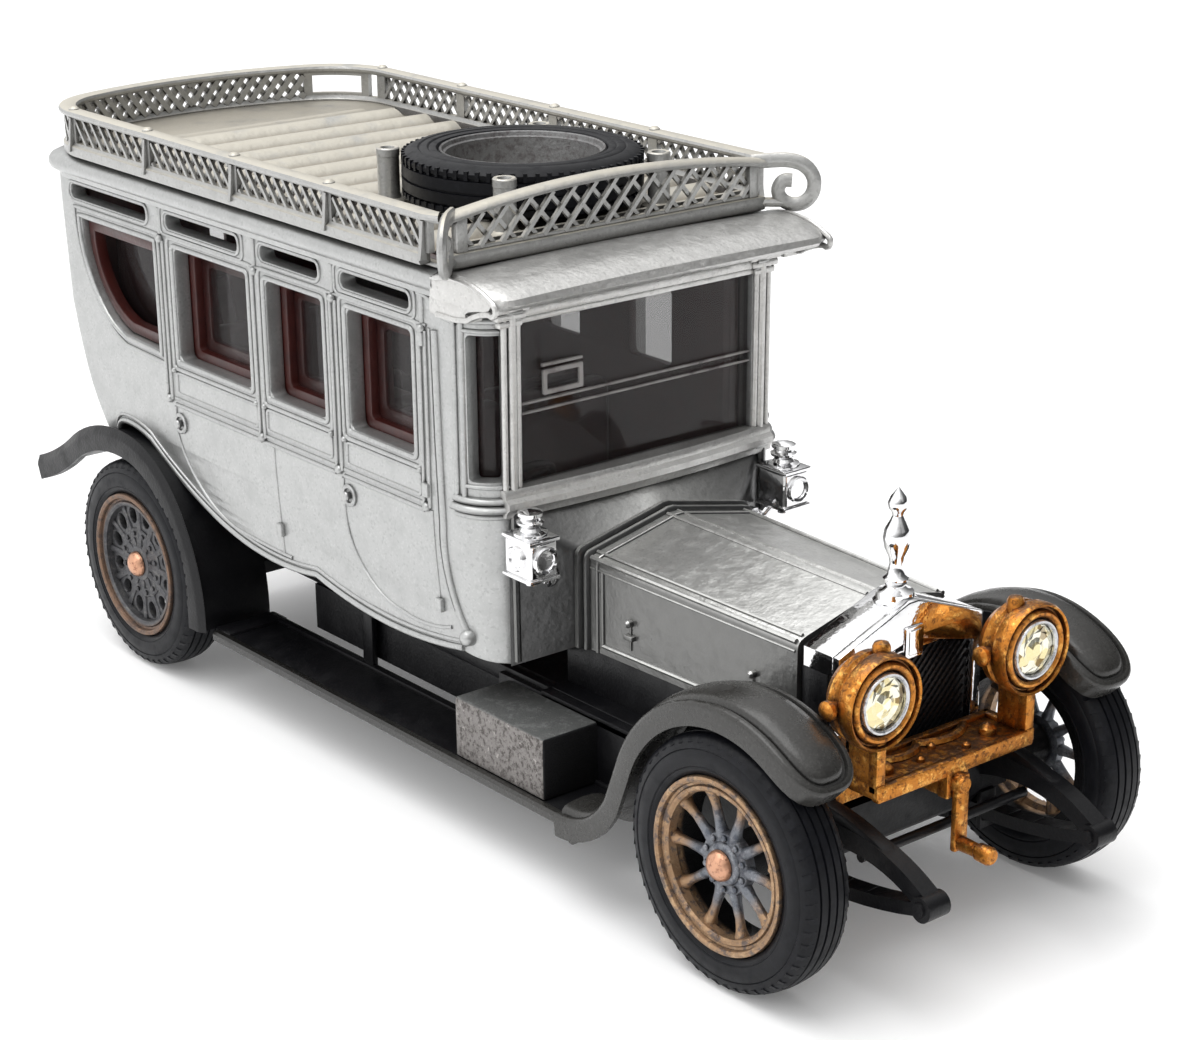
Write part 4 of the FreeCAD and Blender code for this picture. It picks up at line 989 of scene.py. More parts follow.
def canopy(shape):
    """Domed brow over the windscreen, its ends curling into the side moulding."""
    reach = 17.7
    back, front = -9.8, -18.6
    middle_z = 47.2
    profile = [(-9.8, 48.3), (-11.6, 48.6), (-13.2, 48.75), (-15.0, 48.65), (-16.6, 48.35),
               (-17.8, 47.95), (-18.4, 47.6), (-18.55, 47.2), (-18.3, 46.85), (-17.6, 46.6),
               (-16.4, 46.4), (-15.3, 46.1), (-14.6, 45.6), (-13.2, 45.5), (-9.8, 46.0)]
    rows = []
    for i in range(41):
        x = reach * math.sin(mix(-90, 90, i / 40) * math.pi / 180)
        t = abs(x) / reach
        fade = 1 - 0.15 * smooth((t - 0.97) / 0.03)
        lip = front + 0.9 * smooth((t - 0.90) / 0.10)
        crown = 0.25 * (1 - t * t)
        rows.append([(x, mix(back, lip, (back - y) / (back - front)),
                      middle_z + (z - middle_z) * fade + crown * (z > 47.3)) for y, z in profile])
    shape.grid(rows, wrap=True)
    curl = chain(arc((-10.4, 48.15), (-14.6, 48.5), (-18.0, 47.45), 12),
                 arc((-18.0, 47.45), (-18.3, 46.9), (-17.5, 46.6), 5),
                 arc((-17.5, 46.6), (-15.9, 46.2), (-14.7, 45.6), 5), [(-13.2, 45.35), (-10.6, 45.3)])
    for side in (1, -1):
        shape.tube([(side * (reach - 0.05), y, z) for y, z in curl], 0.26, 8, (1, 0, 0))
        shape.block(*sorted((side * 16.0, side * (reach + 0.02))), -14.4, -9.6, 45.2, 46.6, 0.15)


def windscreen_frame(shape):
    """Fluted pillars, head rail and bowed sill at the front of the cab."""
    f = BODY_FRONT
    for x, r in ((13.35, 0.42), (12.75, 0.28), (14.1, 0.26)):
        shape.tube([(x, f + 0.05, 30.6), (x, f - 0.08, 45.6)], r, 10, (0, 1, 0))
    for z0, z1, w in ((44.3, 44.9, 1.15), (44.9, 45.5, 1.45), (45.5, 46.2, 1.75)):
        shape.block(13.5 - w, 13.5 + w, f - 0.35 - 0.3 * (w - 1.1), f + 1.0, z0, z1, 0.16)
    shape.both()
    shape.block(-13.2, 13.2, f - 0.3, f + 0.9, 44.9, 45.7, 0.18)
    shape.block(-12.9, 12.9, f - 0.12, f + 0.7, 44.4, 44.95, 0.12)
    half = 14.4
    sill = [(0.9, 30.9), (-0.15, 30.9), (-0.35, 30.6), (-0.35, 30.2), (-0.75, 29.9),
            (-0.8, 29.4), (-0.45, 29.1), (-0.3, 28.6), (0.9, 28.6)]
    rows = []
    for i in range(31):
        x = mix(-half, half, i / 30)
        bow = 0.85 * (1 - (x / half) ** 2)
        rows.append([(x, f + dy - (bow if dy < 0 else 0), z) for dy, z in sill])
    shape.grid(rows, wrap=True)


coach_work = Shape()
trim = Shape()
for name, side in SIDES:
    wall(coach_work, side)
    cornice(coach_work, side)
    window_trim(trim, side)
    door_trim(trim, side)
    corner_column(trim, side)
coach_work.done("coach_walls", M["body"], nodes=("body_shell",), slot="silver_paint")
trim.done("coach_mouldings", M["body"], slot="silver_paint")
front_work = Shape()
windscreen_frame(front_work)
canopy(front_work)
front_work.done("cab_front", M["cab"], slot="silver_paint")


# ------------------------------------------------------------------ roof rack
SQUARE = [(-0.15, -0.15), (0.15, -0.15), (0.15, 0.15), (-0.15, 0.15)]


def scaled(profile, k):
    return [(k * a, k * b) for a, b in profile]


def upright(z0, z1, low=0.3):
    """Profile of a plain wall band of the gallery."""
    return [(-low, z0), (0.3, z0), (0.3, z1), (-low, z1)]


def side_lattice(shape, side):
    """Crossed bars between the posts, one layer over the other."""
    pitch = 1.42
    lean = 2.1
    tail_start = GAP[1] + 0.9 if side > 0 else 47.2
    for s0, s1 in BAYS + ((tail_start, RACK.end),):
        n = round((s1 - s0) / pitch)
        bar = scaled(SQUARE, 1.8 if s1 == RACK.end else 1.0)
        for i in range(-1, n + 1):
            for way, out in ((1, 0.13), (-1, -0.13)):
                a = s0 + (i + 0.5) * (s1 - s0) / n - way * lean / 2
                t0, t1 = (max(0.0, min(1.0, (end - a) / (way * lean))) for end in (s0, s1)[::way])
                if t1 - t0 < 0.15:
                    continue
                steps = [mix(t0, t1, j / 3) for j in range(4)]
                ss = [a + way * lean * t for t in steps]
                zs = [mix(RACK_LOW - 0.1, RACK_HEAD + 0.1, t) for t in steps]
                path = [RACK.place(s, z, out, side) for s, z in zip(ss, zs)]
                shape.sweep(path, bar, RACK.outward(ss, side))


def rack_rails(shape, side):
    """Foot and head mouldings of the gallery, its posts and their studs."""
    foot = [(-0.5, 48.95), (0.5, 48.95), (0.62, 49.2), (0.62, 49.85), (0.38, 50.0), (0.3, 50.2),
            (-0.3, 50.2), (-0.4, 49.9), (-0.5, 49.8)]
    head = [(-0.30, 52.45), (0.30, 52.45), (0.42, 52.62), (0.78, 52.72), (0.86, 52.95),
            (0.74, 53.16), (0.3, 53.26), (-0.3, 53.26), (-0.74, 53.16), (-0.86, 52.95),
            (-0.78, 52.72), (-0.42, 52.62)]
    rib = [(0.2, 49.4), (0.85, 49.4), (0.72, 50.1), (0.5, 52.5), (0.2, 52.6)]
    shape.band(RACK, side, -8.9, RACK.end, foot)
    shape.band(RACK, side, -10.6, RACK.end, head)
    for s in POST_Y + (TAIL_POST, -9.2):
        shape.band(RACK, side, s - 0.62, s + 0.62, upright(50.0, 52.6, 0.28), 0.3)
        shape.band(RACK, side, s - 0.2, s + 0.2, rib, 0.2)
    for s in POST_Y + (TAIL_POST,):
        shape.turn([(-0.2, 0.55), (0.12, 0.5), (0.3, 0.3), (0.34, 0.05)],
                   RACK.place(s, 53.2, 0, side), "z", 12)


def rack_front(shape):
    """Arched front panel: lattice, foot, head rail and end posts."""
    f = RACK_FRONT

    def arch(x):
        return 1.25 * (1 - (x / 16.2) ** 2)

    xs = [mix(-16.6, 16.6, i / 36) for i in range(37)]
    shape.sweep([(x, f, 52.75 + arch(x)) for x in xs],
                [(-0.72, -0.18), (-0.3, -0.32), (0.3, -0.32), (0.72, -0.18), (0.86, 0.08),
                 (0.66, 0.34), (0.2, 0.46), (-0.2, 0.46), (-0.66, 0.34), (-0.86, 0.08)])
    shape.block(-16.6, 16.6, f - 0.6, f + 0.5, 48.75, 49.95, 0.2)
    shape.block(-15.4, 15.4, f - 0.28, f + 0.3, 49.9, 50.3, 0.12)
    for x in (-15.4, 15.4):
        shape.block(x - 0.55, x + 0.55, f - 0.42, f + 0.42, 49.9, 52.9, 0.16)
    pitch, half, lean = 2.2, 14.9, 3.8
    n = round(2 * half / pitch)
    for i in range(-2, n + 2):
        for way, y in ((1, f - 0.14), (-1, f + 0.14)):
            x0 = -half + (i + 0.5) * 2 * half / n - way * lean / 2
            bar = [(x0 + way * lean * k / 12, y, mix(50.1, 54.2, k / 12)) for k in range(13)]
            bar = [(x, y, z) for x, y, z in bar if abs(x) <= half + 0.3 and z < 52.7 + arch(x)]
            if len(bar) > 2:
                shape.sweep([bar[0], bar[-1]], scaled(SQUARE, 1.15), (0, 1, 0))


def inside_rack(inset, start):
    """Closed outline of the rack's plan, drawn in from the gallery."""
    half = [RACK.place(s, 0, -inset)[:2] for s in RACK.walk(start, RACK.end, 0.8)]
    return half + [(-x, y) for x, y in reversed(half)]


def rack_floor(shape):
    """Floor pan with broad cross ribs and a raised plate at the back."""
    pan = inside_rack(0.4, -10.4)
    shape.plate([pan], 48.7, 49.15, level, 0.1)
    shape.plate([[p for p in pan if p[1] > 43.5]], 49.0, 49.7, level, 0.1)
    pitch, wave, end, low = 4.6, 0.5, 45.5, 49.05
    waves = []
    y = RACK_FRONT + 1.4
    while y < end:
        w = 15.5 if y < 38 else 15.5 - 0.12 * (y - 38) ** 1.4
        z = 49.75 + wave * math.cos(2 * math.pi * y / pitch) * min(1.0, (end - y) / 2)
        waves.append([(-w, y, low), (-w, y, z), (w, y, z), (w, y, low)])
        y += pitch / 14
    shape.grid(waves, wrap=True)


def corner_opening(shape):
    """Plain rectangular opening in the left rear corner of the gallery."""
    s0, s1 = GAP
    for a, b in ((s0 - 0.9, s0), (s1, s1 + 0.9)):
        shape.band(RACK, 1, a, b, upright(50.0, 52.6), 0.3)
    for z0, z1 in ((50.0, 50.45), (52.2, 52.6)):
        shape.band(RACK, 1, s0, s1, upright(z0, z1), 0.5)


def spare_posts(shape):
    """Four hollow-topped posts round the spare tyre."""
    for a in (45, 135, 225, 315):
        x = (TYRE_R + 1.25) * math.cos(math.radians(a))
        y = SPARE.y + (TYRE_R + 1.25) * math.sin(math.radians(a))
        shape.turn([(49.3, 1.5), (49.75, 1.5), (50.0, 1.05), (50.4, 0.95), (53.5, 0.95),
                    (53.55, 1.0), (54.15, 1.0), (54.25, 0.9), (54.22, 0.62), (53.9, 0.5),
                    (53.9, 0.05)], (x, y, 0), "z", 22)


def corner_scroll(shape, side):
    """Flat C-scroll standing out from a front corner, with a small inner curl."""
    d = math.sqrt(0.5)

    def place(u, z):
        return Vector((side * (15.9 + d * u), RACK_FRONT + 0.3 - d * u, z))

    line = [(-0.2, 52.85), (1.4, 53.0), (2.9, 53.1), (4.3, 52.75), (5.2, 51.7), (5.2, 50.4),
            (4.5, 49.45), (3.4, 49.15), (2.4, 49.6), (2.0, 50.5), (2.5, 51.35), (3.3, 51.3)]
    for k in range(2):
        cut = [tuple(mix(p, q, t) for p, q in zip(a, b))
               for a, b in zip(line, line[1:]) for t in (0.25, 0.75)]
        line = [line[0]] + cut + [line[-1]]
    last = len(line) - 1
    across = Vector((side * d, d, 0))
    path = [place(u, z) for u, z in line]
    rows = []
    for i, p in enumerate(path):
        along = (path[min(i + 1, last)] - path[max(i - 1, 0)]).normalized()
        up = along.cross(across).normalized()
        tall = mix(0.66, 0.60, i / last)
        rows.append([p + across * (0.42 * c) + up * (tall * s) for c, s in circle(0, 0, 1, 10)])
    shape.grid(rows, wrap=True)
    stem = [place(u, z) for u, z in ((0.4, 49.3), (1.2, 49.4), (2.6, 49.4))]
    shape.tube(stem, 0.42, 8, (side * d, d, 0.01))


rack = Shape()
for name, side in SIDES:
    side_lattice(rack, side)
    rack_rails(rack, side)
    corner_scroll(rack, side)
for part in (rack_front, rack_floor, corner_opening, spare_posts):
    part(rack)
rack.done("roof_gallery", M["rack"], nodes=("roof_rack",), slot="rack_silver")
roof = Shape()
roof.plate([inside_rack(0.95, -10.2)], 47.6, 49.2, level, 0.1)
roof.done("roof_panel", M["maroon"], slot="maroon_plastic")


# ------------------------------------------------------------------ spare wheel
def spare():
    """Tyre laid flat: siped tread, moulded wall lines and the grey ring inside it."""
    lo, hi = (corner.z for corner in box("spare_tyre"))
    centre = (SPARE.x, SPARE.y, 0)
    r = TYRE_R
    rim = RIM_R - r
    wall_low = [(0, rim + 0.05), (0, rim + 0.6), (0.05, -1.2), (0.3, -0.4), (0.6, -0.08),
                (1.0, -0.14), (1.05, -0.34), (1.2, -0.34), (1.25, -0.04), (2.15, 0),
                (2.2, -0.22), (2.35, -0.22), (2.4, 0), (3.3, -0.04), (3.35, -0.34),
                (3.5, -0.34), (3.55, -0.12), (3.9, -0.08)]
    wall_high = [(-0.3, -0.42), (-0.08, -0.9), (-0.02, -1.4), (-0.12, -1.55), (0, -1.7),
                 (0.02, -2.2), (-0.1, -2.35), (-0.02, -2.5), (-0.08, rim + 0.25),
                 (-0.35, rim + 0.05)]
    tread = Shape()
    tread.ring([(lo + z, r + d) for z, d in wall_low] + [(hi + z, r + d) for z, d in wall_high],
               centre, "z", 120)
    count = 64
    for k in range(count):
        for z0, z1, turn in ((lo + 0.6, lo + 1.1, 0.0), (hi - 1.1, hi - 0.35, 0.5)):
            a = 2 * math.pi * (k + turn) / count
            path = [(centre[0] + reach * math.cos(a), centre[1] + reach * math.sin(a),
                     (z0 + z1) / 2) for reach in (r - 0.5, r - 0.02)]
            w, h = 0.17, (z1 - z0) / 2
            tread.sweep(path, [(-w, -h), (w, -h), (w, h), (-w, h)])
    tread.done("spare_tyre_tread", M["rubber"], "spare", ("spare_tyre",), "rubber_tyre")
    ring = Shape()
    ring.ring([(lo + 0.35, RIM_R), (lo + 0.35, 5.9), (lo + 1.0, 5.75), (lo + 1.2, 6.1),
               (hi - 1.2, 6.5), (hi - 0.6, 6.55), (hi - 0.5, 6.75), (hi - 0.2, 6.85),
               (hi - 0.12, 7.0), (hi - 0.3, RIM_R + 0.04)], centre, "z", 96)
    ring.done("spare_inner_ring", M["spare"], "spare", ("spare_tyre_ring",), "ring_silver")


spare()


# ------------------------------------------------------------------ inside the coachwork
def cabin():
    """Maroon moulding: stepped window frames, cushions, partition, dash and floor."""
    shape = Shape()
    panel = rounded(-10.2, 34.8, 17.6, 43.5, 0.5)
    quarter = rounded(0.9, 13.8, 22.0, 46.0, 0.5)
    for _, side in SIDES:
        for x, inset in ((14.15, 0.75), (13.3, 1.75)):
            holes = [rounded(y0 + inset, y1 - inset, GLASS_LOW + inset, GLASS_TOP - inset, 0.5)
                     for y0, y1 in DOORS]
            shape.plate([panel] + holes, -0.42, 0.5, side_plane(x, side), 0.16)
        shape.plate([d_window(0.05), d_window(1.15)], -0.6, 0.6, side_plane(15.0, side), 0.16)
        shape.plate([quarter], -0.3, 0.3, lambda a, b, h: (side * a, 52.0 + h - rear_tuck(b), b),
                    0.1, (), [24 + 2 * i for i in range(6)])
    for y, depth in ((-1.6, 8.0), (34.0, 9.5)):
        shape.block(-12.2, 12.2, y, y + depth, 18.2, 22.9, 0.9, 3)
        for x in (-6.1, 6.1):
            shape.block(x - 5.8, x + 5.8, y + depth - 2.6, y + depth - 0.2, 21.8, 31.5, 0.9, 3)
    shape.block(-12.5, 12.5, 8.5, 9.7, 18.2, 31.0, 0.2)
    shape.block(-12.9, 12.9, -12.6, -11.2, 17.6, 28.6, 0.4)
    shape.block(-13.3, 13.3, -12.8, 46.0, 17.9, 18.6, 0.15)
    shape.done("cabin_moulding", M["maroon"], nodes=("interior_tub",), slot="maroon_plastic")


def panes():
    """Smoky panes: flanks, rounded front corners, windscreen and rear light."""
    shape = Shape()
    for _, side in SIDES:
        flank = side_plane(13.7, side)
        for y0, y1 in DOORS:
            shape.plate([rounded(y0 - 0.3, y1 + 0.3, 31.8, 43.0, 0.4)], -0.15, 0.15, flank, 0.05)
        shape.plate([[(min(y, 47.0), z) for y, z in d_window(-0.3)]], -0.15, 0.15, flank, 0.05)
        shape.plate([rounded(-16.0, -11.3, 31.2, 44.0, 0.2)], -1.95, -1.7, on_coach(side), 0.05,
                    [mix(-16.4, -10.9, i / 8) for i in range(9)])
    shape.plate([rounded(-12.7, 12.7, 30.7, 45.2, 0.3)], -0.9, -0.6, front_plane(BODY_FRONT),
                0.06)
    shape.plate([rounded(-7.0, 7.0, 33.4, 42.6, 0.3)], -0.15, 0.15, lambda a, b, h: (
        a, BODY_REAR - 2.6 + h - 0.012 * a * a, b), 0.05, [-6 + 2 * i for i in range(7)])
    shape.done("window_panes", M["glass"], nodes=("glazing",), slot="clear_glazing")
    bars = Shape()
    y = BODY_FRONT
    for z0, z1 in ((37.5, 37.72), (36.7, 36.9)):
        bars.block(-12.6, 12.6, y + 0.30, y + 0.62, z0, z1, 0.06)
    bars.plate([rounded(-10.0, -5.9, 38.0, 40.1, 0.15), rounded(-9.6, -6.3, 38.4, 39.7, 0.12)],
               -0.15, 0.15, front_plane(y + 0.3), 0.06)
    bars.block(-10.0, -5.9, y + 0.2, y + 0.55, 40.35, 40.6, 0.06)
    bars.done("windscreen_bars", M["bar"], slot="clear_glazing")


cabin()
panes()


# ------------------------------------------------------------------ bonnet and radiator
HOOD_FRONT, HOOD_REAR = (8.0, 24.75, 26.8), (8.8, 25.2, 27.1)  # half width, shoulder, ridge


def along_bonnet(y):
    return (y - BONNET_FRONT) / (BONNET_REAR - BONNET_FRONT)


def hood(y, g=0.0, low=17.0):
    """Pitched section of the bonnet at y, grown outwards by g; behind it the scuttle flares."""
    t = along_bonnet(y)
    if t <= 1:
        half, shoulder, ridge = (mix(a, b, t) for a, b in zip(HOOD_FRONT, HOOD_REAR))
    else:
        u = (y - BONNET_REAR) / (BODY_FRONT - BONNET_REAR)
        half, shoulder, ridge = mix(8.8, 13.5, u), mix(25.2, 28.3, u ** 1.2), mix(27.1, 29.3, u)
        low = mix(low, 15.6, u)
    half += g
    shoulder += 0.75 * g
    ridge += g
    rise = (ridge - shoulder) / half
    side = [(half, low), (half, shoulder - 0.75), (half - 0.08, shoulder - 0.3),
            (half - 0.35, shoulder + 0.02), (half - 0.9, shoulder + 0.9 * rise),
            (half * 0.5, mix(shoulder, ridge, 0.5)), (0.9, ridge - 0.9 * rise),
            (0.35, ridge - 0.2 * rise)]
    return [(x, y, z) for x, z in side] + [(-x, y, z) for x, z in reversed(side)]


def hood_band(shape, y0, y1, g):
    """Raised band round the bonnet between two places."""
    e = min(0.18, (y1 - y0) / 3)
    steps = ((y0, 0.1), (y0 + e * 0.5, 0.8), (y0 + e, 1), (y1 - e, 1), (y1 - e * 0.5, 0.8),
             (y1, 0.1))
    shape.grid([hood(y, g * k) for y, k in steps], wrap=True)


def bonnet():
    """Bonnet and scuttle with their bands, hinge beads, panel frames and catches."""
    shape = Shape()
    shape.grid([hood(mix(BONNET_FRONT, BONNET_REAR, i / 12)) for i in range(13)], wrap=True)
    shape.grid([hood(mix(BONNET_REAR, BODY_FRONT + 0.2, i / 8)) for i in range(9)], wrap=True)
    for ahead, behind, g in ((0.55, -0.15, 0.62), (1.25, 0.7, 0.42), (2.3, 1.9, 0.17)):
        hood_band(shape, BONNET_REAR - ahead, BONNET_REAR - behind, g)
    front, rear = BONNET_FRONT + 0.25, BONNET_REAR - 1.3
    upright = (0, 1, 0)
    half_0, half_1 = HOOD_FRONT[0], HOOD_REAR[0]
    for sign in (1, -1):
        for x0, x1, z0, z1, r in ((half_0 - 0.12, half_1 - 0.12, 24.65, 25.05, 0.24),
                                  (half_0 - 0.75, half_1 - 0.75, 25.0, 25.42, 0.17),
                                  (0.55, 0.55, 26.66, 26.98, 0.19),
                                  (half_0, half_1, 23.9, 24.2, 0.12)):
            ys = [mix(front, rear, i / 8) for i in range(9)]
            shape.tube([(sign * mix(x0, x1, along_bonnet(y)), y, mix(z0, z1, along_bonnet(y)))
                        for y in ys], r, 8)
        x = sign * 8.72
        end = rear - 1.5
        shape.tube([(sign * 8.0, front + 0.2, 17.75), (x, end, 17.75)], 0.22, 8)
        shape.tube([(x, end, 17.6), (x, end, 24.2)], 0.20, 8, upright)
        x = sign * 8.57
        end = rear - 2.1
        shape.tube([(x, end, 18.3), (x, end, 24.0)], 0.12, 8, upright)
        for y in (-23.4, -37.6):
            k = sign * (mix(half_0, half_1, along_bonnet(y)) + 0.02)
            shape.tube([(k, y, 18.4), (k, y, 20.7)], [0.16, 0.12], 8, upright)
            shape.block(*sorted((k - sign * 0.2, k + sign * 0.42)), y - 0.55, y + 0.55, 19.3,
                        19.75, 0.12)
            shape.turn([(-0.1, 0.05), (-0.1, 0.3), (0.4, 0.34), (0.6, 0.16)], (k, y, 20.75), "x",
                       10, sign)
        shape.tube([(sign * 13.45, BODY_FRONT - 0.25, 16.0), (sign * 13.5, BODY_FRONT - 0.2, 28.9)],
                   0.32, 8, upright)
    shape.done("bonnet_and_scuttle", M["bonnet"], nodes=("bonnet_scuttle",), slot="bonnet_paint")


def radiator():
    """Bright surround with a blank badge, and the black core with its diagonal mesh."""
    f, b = RAD_LO.y, RAD_HI.y
    w = RAD_HI.x
    low, top = RAD_LO.z, RAD_HI.z
    gable = [(w, 24.55), (0.5, top - 0.12), (-0.5, top - 0.12), (-w, 24.55)]
    mouth = [(-6.75, low + 0.5), (6.75, low + 0.5), (6.75, 22.4), (0, 24.2), (-6.75, 22.4)]
    front = front_plane(f)
    shape = Shape()
    shape.plate([[(-w, low), (w, low)] + gable, mouth], -0.85, 0.0, front, 0.16)
    shape.plate([[(-w, 23.0), (w, 23.0)] + gable], b - f - 8.2, -0.5, front, 0.2)
    shape.plate([rounded(-0.95, 0.95, 22.75, 25.35, 0.2)], -0.1, 0.22, front, 0.08)
    shape.plate([rounded(-0.65, 0.65, 23.05, 25.05, 0.12)], 0.1, 0.32, front, 0.06)
    shape.done("radiator_surround", M["chrome"], nodes=("radiator_shell",), slot="chrome")
    core = Shape()
    core.block(-w + 0.3, w - 0.3, f + 1.0, b + 0.1, low + 0.1, 23.2, 0.15)
    core.block(-w + 0.08, w - 0.08, f + 1.3, b - 0.2, low, 22.9, 0.1)
    pitch = 0.78
    z0, z1 = low + 0.3, 23.9
    wire = [(-0.11, -0.09), (0.11, -0.09), (0.11, 0.09), (-0.11, 0.09)]
    for way, y in ((1, f + 0.72), (-1, f + 0.86)):
        x = -6.9 - (z1 - z0)
        while x < 6.9 + (z1 - z0):
            half = way * (z1 - z0) / 2
            line = [(mix(x - half, x + half, i / 40), y, mix(z0, z1, i / 40)) for i in range(41)]
            line = [p for p in line if abs(p[0]) < 6.85 and p[2] < 24.1 - 0.26 * abs(p[0])]
            if len(line) > 1:
                core.sweep([line[0], line[-1]], wire, (0, 1, 0))
            x += pitch
    core.done("radiator_core", M["black"], nodes=("radiator_grille",), slot="black_paint")
    cap = Shape()
    c = middle("radiator_cap")
    foot = 26.6
    steps = [(0.0, 1.75), (0.35, 1.75), (0.5, 1.5), (0.95, 1.45), (1.1, 1.0), (1.35, 0.75),
             (1.7, 0.95), (2.0, 1.0), (2.3, 0.7), (3.1, 0.52), (3.7, 0.62), (4.4, 0.95),
             (5.2, 1.1), (5.9, 0.95), (6.5, 0.6), (6.9, 0.42), (7.2, 0.5), (7.5, 0.72),
             (7.9, 0.8), (8.4, 0.6), (8.8, 0.28), (9.1, 0.05)]
    stretch = (box("radiator_cap")[1].z - foot) / steps[-1][0]
    cap.turn([(h * stretch, r) for h, r in steps], (c.x, c.y, foot), "z", 32)
    cap.done("filler_finial", M["chrome"], nodes=("radiator_cap",), slot="chrome")


bonnet()
radiator()


# ------------------------------------------------------------------ lamps
def headlamp(name, side):
    """Ribbed gilt drum with side and top knobs, a silver bezel and a faceted crystal."""
    c = LAMP[name]
    face = LAMP_FACE + 0.6
    at = (c.x, face, c.z)
    r = LAMP_R
    drum = Shape()
    drum.turn([(1.2, 0.05), (1.2, LENS_R), (0.0, LENS_R + 0.04), (-0.26, LENS_R + 0.16),
               (-0.42, 2.78), (-0.42, 2.98), (-0.24, 3.14), (0.02, 3.24), (0.02, 3.34),
               (-0.36, 3.46), (-0.46, 3.62), (-0.2, r), (0.7, r), (0.95, r - 0.1),
               (1.05, r - 0.38), (1.4, r - 0.42), (1.6, r - 0.22), (2.2, r - 0.25),
               (2.45, r - 0.5), (3.2, r - 1.1), (3.9, r - 2.0), (4.4, r - 2.9), (4.75, 0.3),
               (4.8, 0.05)], at, "y", 44)
    for sign in (1, -1):
        drum.turn([(r - 0.8, 0.62), (r + 0.1, 0.62), (r + 0.2, 0.78), (r + 0.55, 0.78),
                   (r + 0.8, 0.5), (r + 0.86, 0.05)], (c.x, face + 1.5, c.z), "x", 14, sign)
    drum.turn([(r - 0.8, 0.7), (r + 0.1, 0.7), (r + 0.4, 0.55), (r + 0.55, 0.1)],
              (c.x - side * 0.9, face + 1.2, c.z), "z", 14)
    drum.done("headlamp_drum_" + name, M["gilt"], nodes=("headlamp_shell_" + name,), slot="gilt")
    glass_r = LENS_R - 0.38
    bezel = Shape()
    bezel.ring([(1.1, LENS_R), (-0.3, LENS_R), (-0.46, LENS_R - 0.08), (-0.48, LENS_R - 0.24),
                (-0.36, glass_r + 0.02), (0.2, glass_r), (1.1, glass_r)], at, "y", 44)
    bezel.done("headlamp_bezel_" + name, M["ring"], nodes=("headlamp_ring_" + name,),
               slot="ring_silver")
    crystal = Shape()
    rows = []
    for d, wide, turn in ((0.9, 1.0, 0), (-0.12, 1.0, 0), (-0.3, 0.71, 0.5), (-0.2, 0.49, 0),
                          (-0.42, 0.25, 0.5)):
        reach = wide * (glass_r - 0.01)
        angles = [2 * math.pi * (i + turn) / 12 for i in range(12)]
        rows.append([(c.x + reach * math.cos(a), face + d, c.z + reach * math.sin(a))
                     for a in angles])
    crystal.grid(rows, wrap=True)
    crystal.done("headlamp_crystal_" + name, M["jewel"], nodes=("headlamp_jewel_" + name,),
                 slot="jewel", sharp=5)


def lamp_bracket():
    """Gilt shelf with two arms and small rivets, and the crank that hangs from it."""
    f, b, w = SHELF_FRONT, RAD_LO.y - 0.05, SHELF_W
    shape = Shape()
    shape.block(-w, w, f, b, 15.25, 15.85, 0.16)
    shape.block(-w, w, f - 0.05, f + 0.7, 14.75, 16.1, 0.2)
    shape.block(-w, w, b - 0.75, b, 13.0, 16.2, 0.2)
    for x in (-w + 0.35, w - 0.35):
        shape.block(x - 0.45, x + 0.45, f, b, 15.0, 16.2, 0.18)
    for sign in (1, -1):
        x = sign * 8.1
        shape.block(x - 0.5, x + 0.5, f + 0.1, f + 1.0, 15.4, 19.7, 0.16)
        shape.block(x - 0.42, x + 0.42, f + 0.8, f + 3.2, 15.4, 19.6, 0.12)
        shape.block(x - 0.8, x + 0.8, f + 0.4, f + 3.0, 18.9, 19.9, 0.25)
        shape.turn([(15.8, 0.75), (16.3, 0.7), (16.6, 0.35), (16.75, 0.05)],
                   (sign * 5.6, f + 2.2, 0), "z", 10)
    for x, back in ((-2.2, 1.8), (2.4, 1.4), (0.2, 3.0)):
        shape.turn([(15.7, 0.4), (16.1, 0.34), (16.3, 0.1)], (x, f + back, 0), "z", 10)
    curl = arc((-5.0, 4.0), (-2.6, 3.0), (-0.4, 4.1), 8)
    curl += arc((-0.4, 4.1), (2.4, 3.2), (5.0, 4.3), 8)[1:]
    shape.tube([(x, f + back, 15.9) for x, back in curl], 0.42, 8)
    shape.block(-1.2, 1.2, f - 0.12, f + 1.0, 12.9, 15.4, 0.25)
    shape.block(-1.1, 1.1, f + 0.6, b, 12.95, 15.4, 0.25)
    shape.done("lamp_shelf", M["gilt"], nodes=("headlamp_bracket",), slot="gilt")
    crank = Shape()
    drop = box("starting_handle")[0].z + 0.6
    crank.block(-0.72, 0.72, f - 0.72, f - 0.14, drop - 0.65, 14.9, 0.2)
    crank.turn([(-0.9, 0.05), (-0.9, 0.6), (-0.5, 0.85), (0.6, 0.85), (1.4, 0.6), (2.6, 0.05)],
               (0, f, 14.1), "y", 18)
    crank.turn([(0.2, 0.05), (0.2, 0.62), (2.4, 0.55), (2.6, 0.72), (3.7, 0.75), (3.95, 0.6),
                (4.0, 0.05)], (0, f, drop), "y", 18, -1)
    crank.done("crank_handle", M["gilt"], nodes=("starting_handle",), slot="gilt")


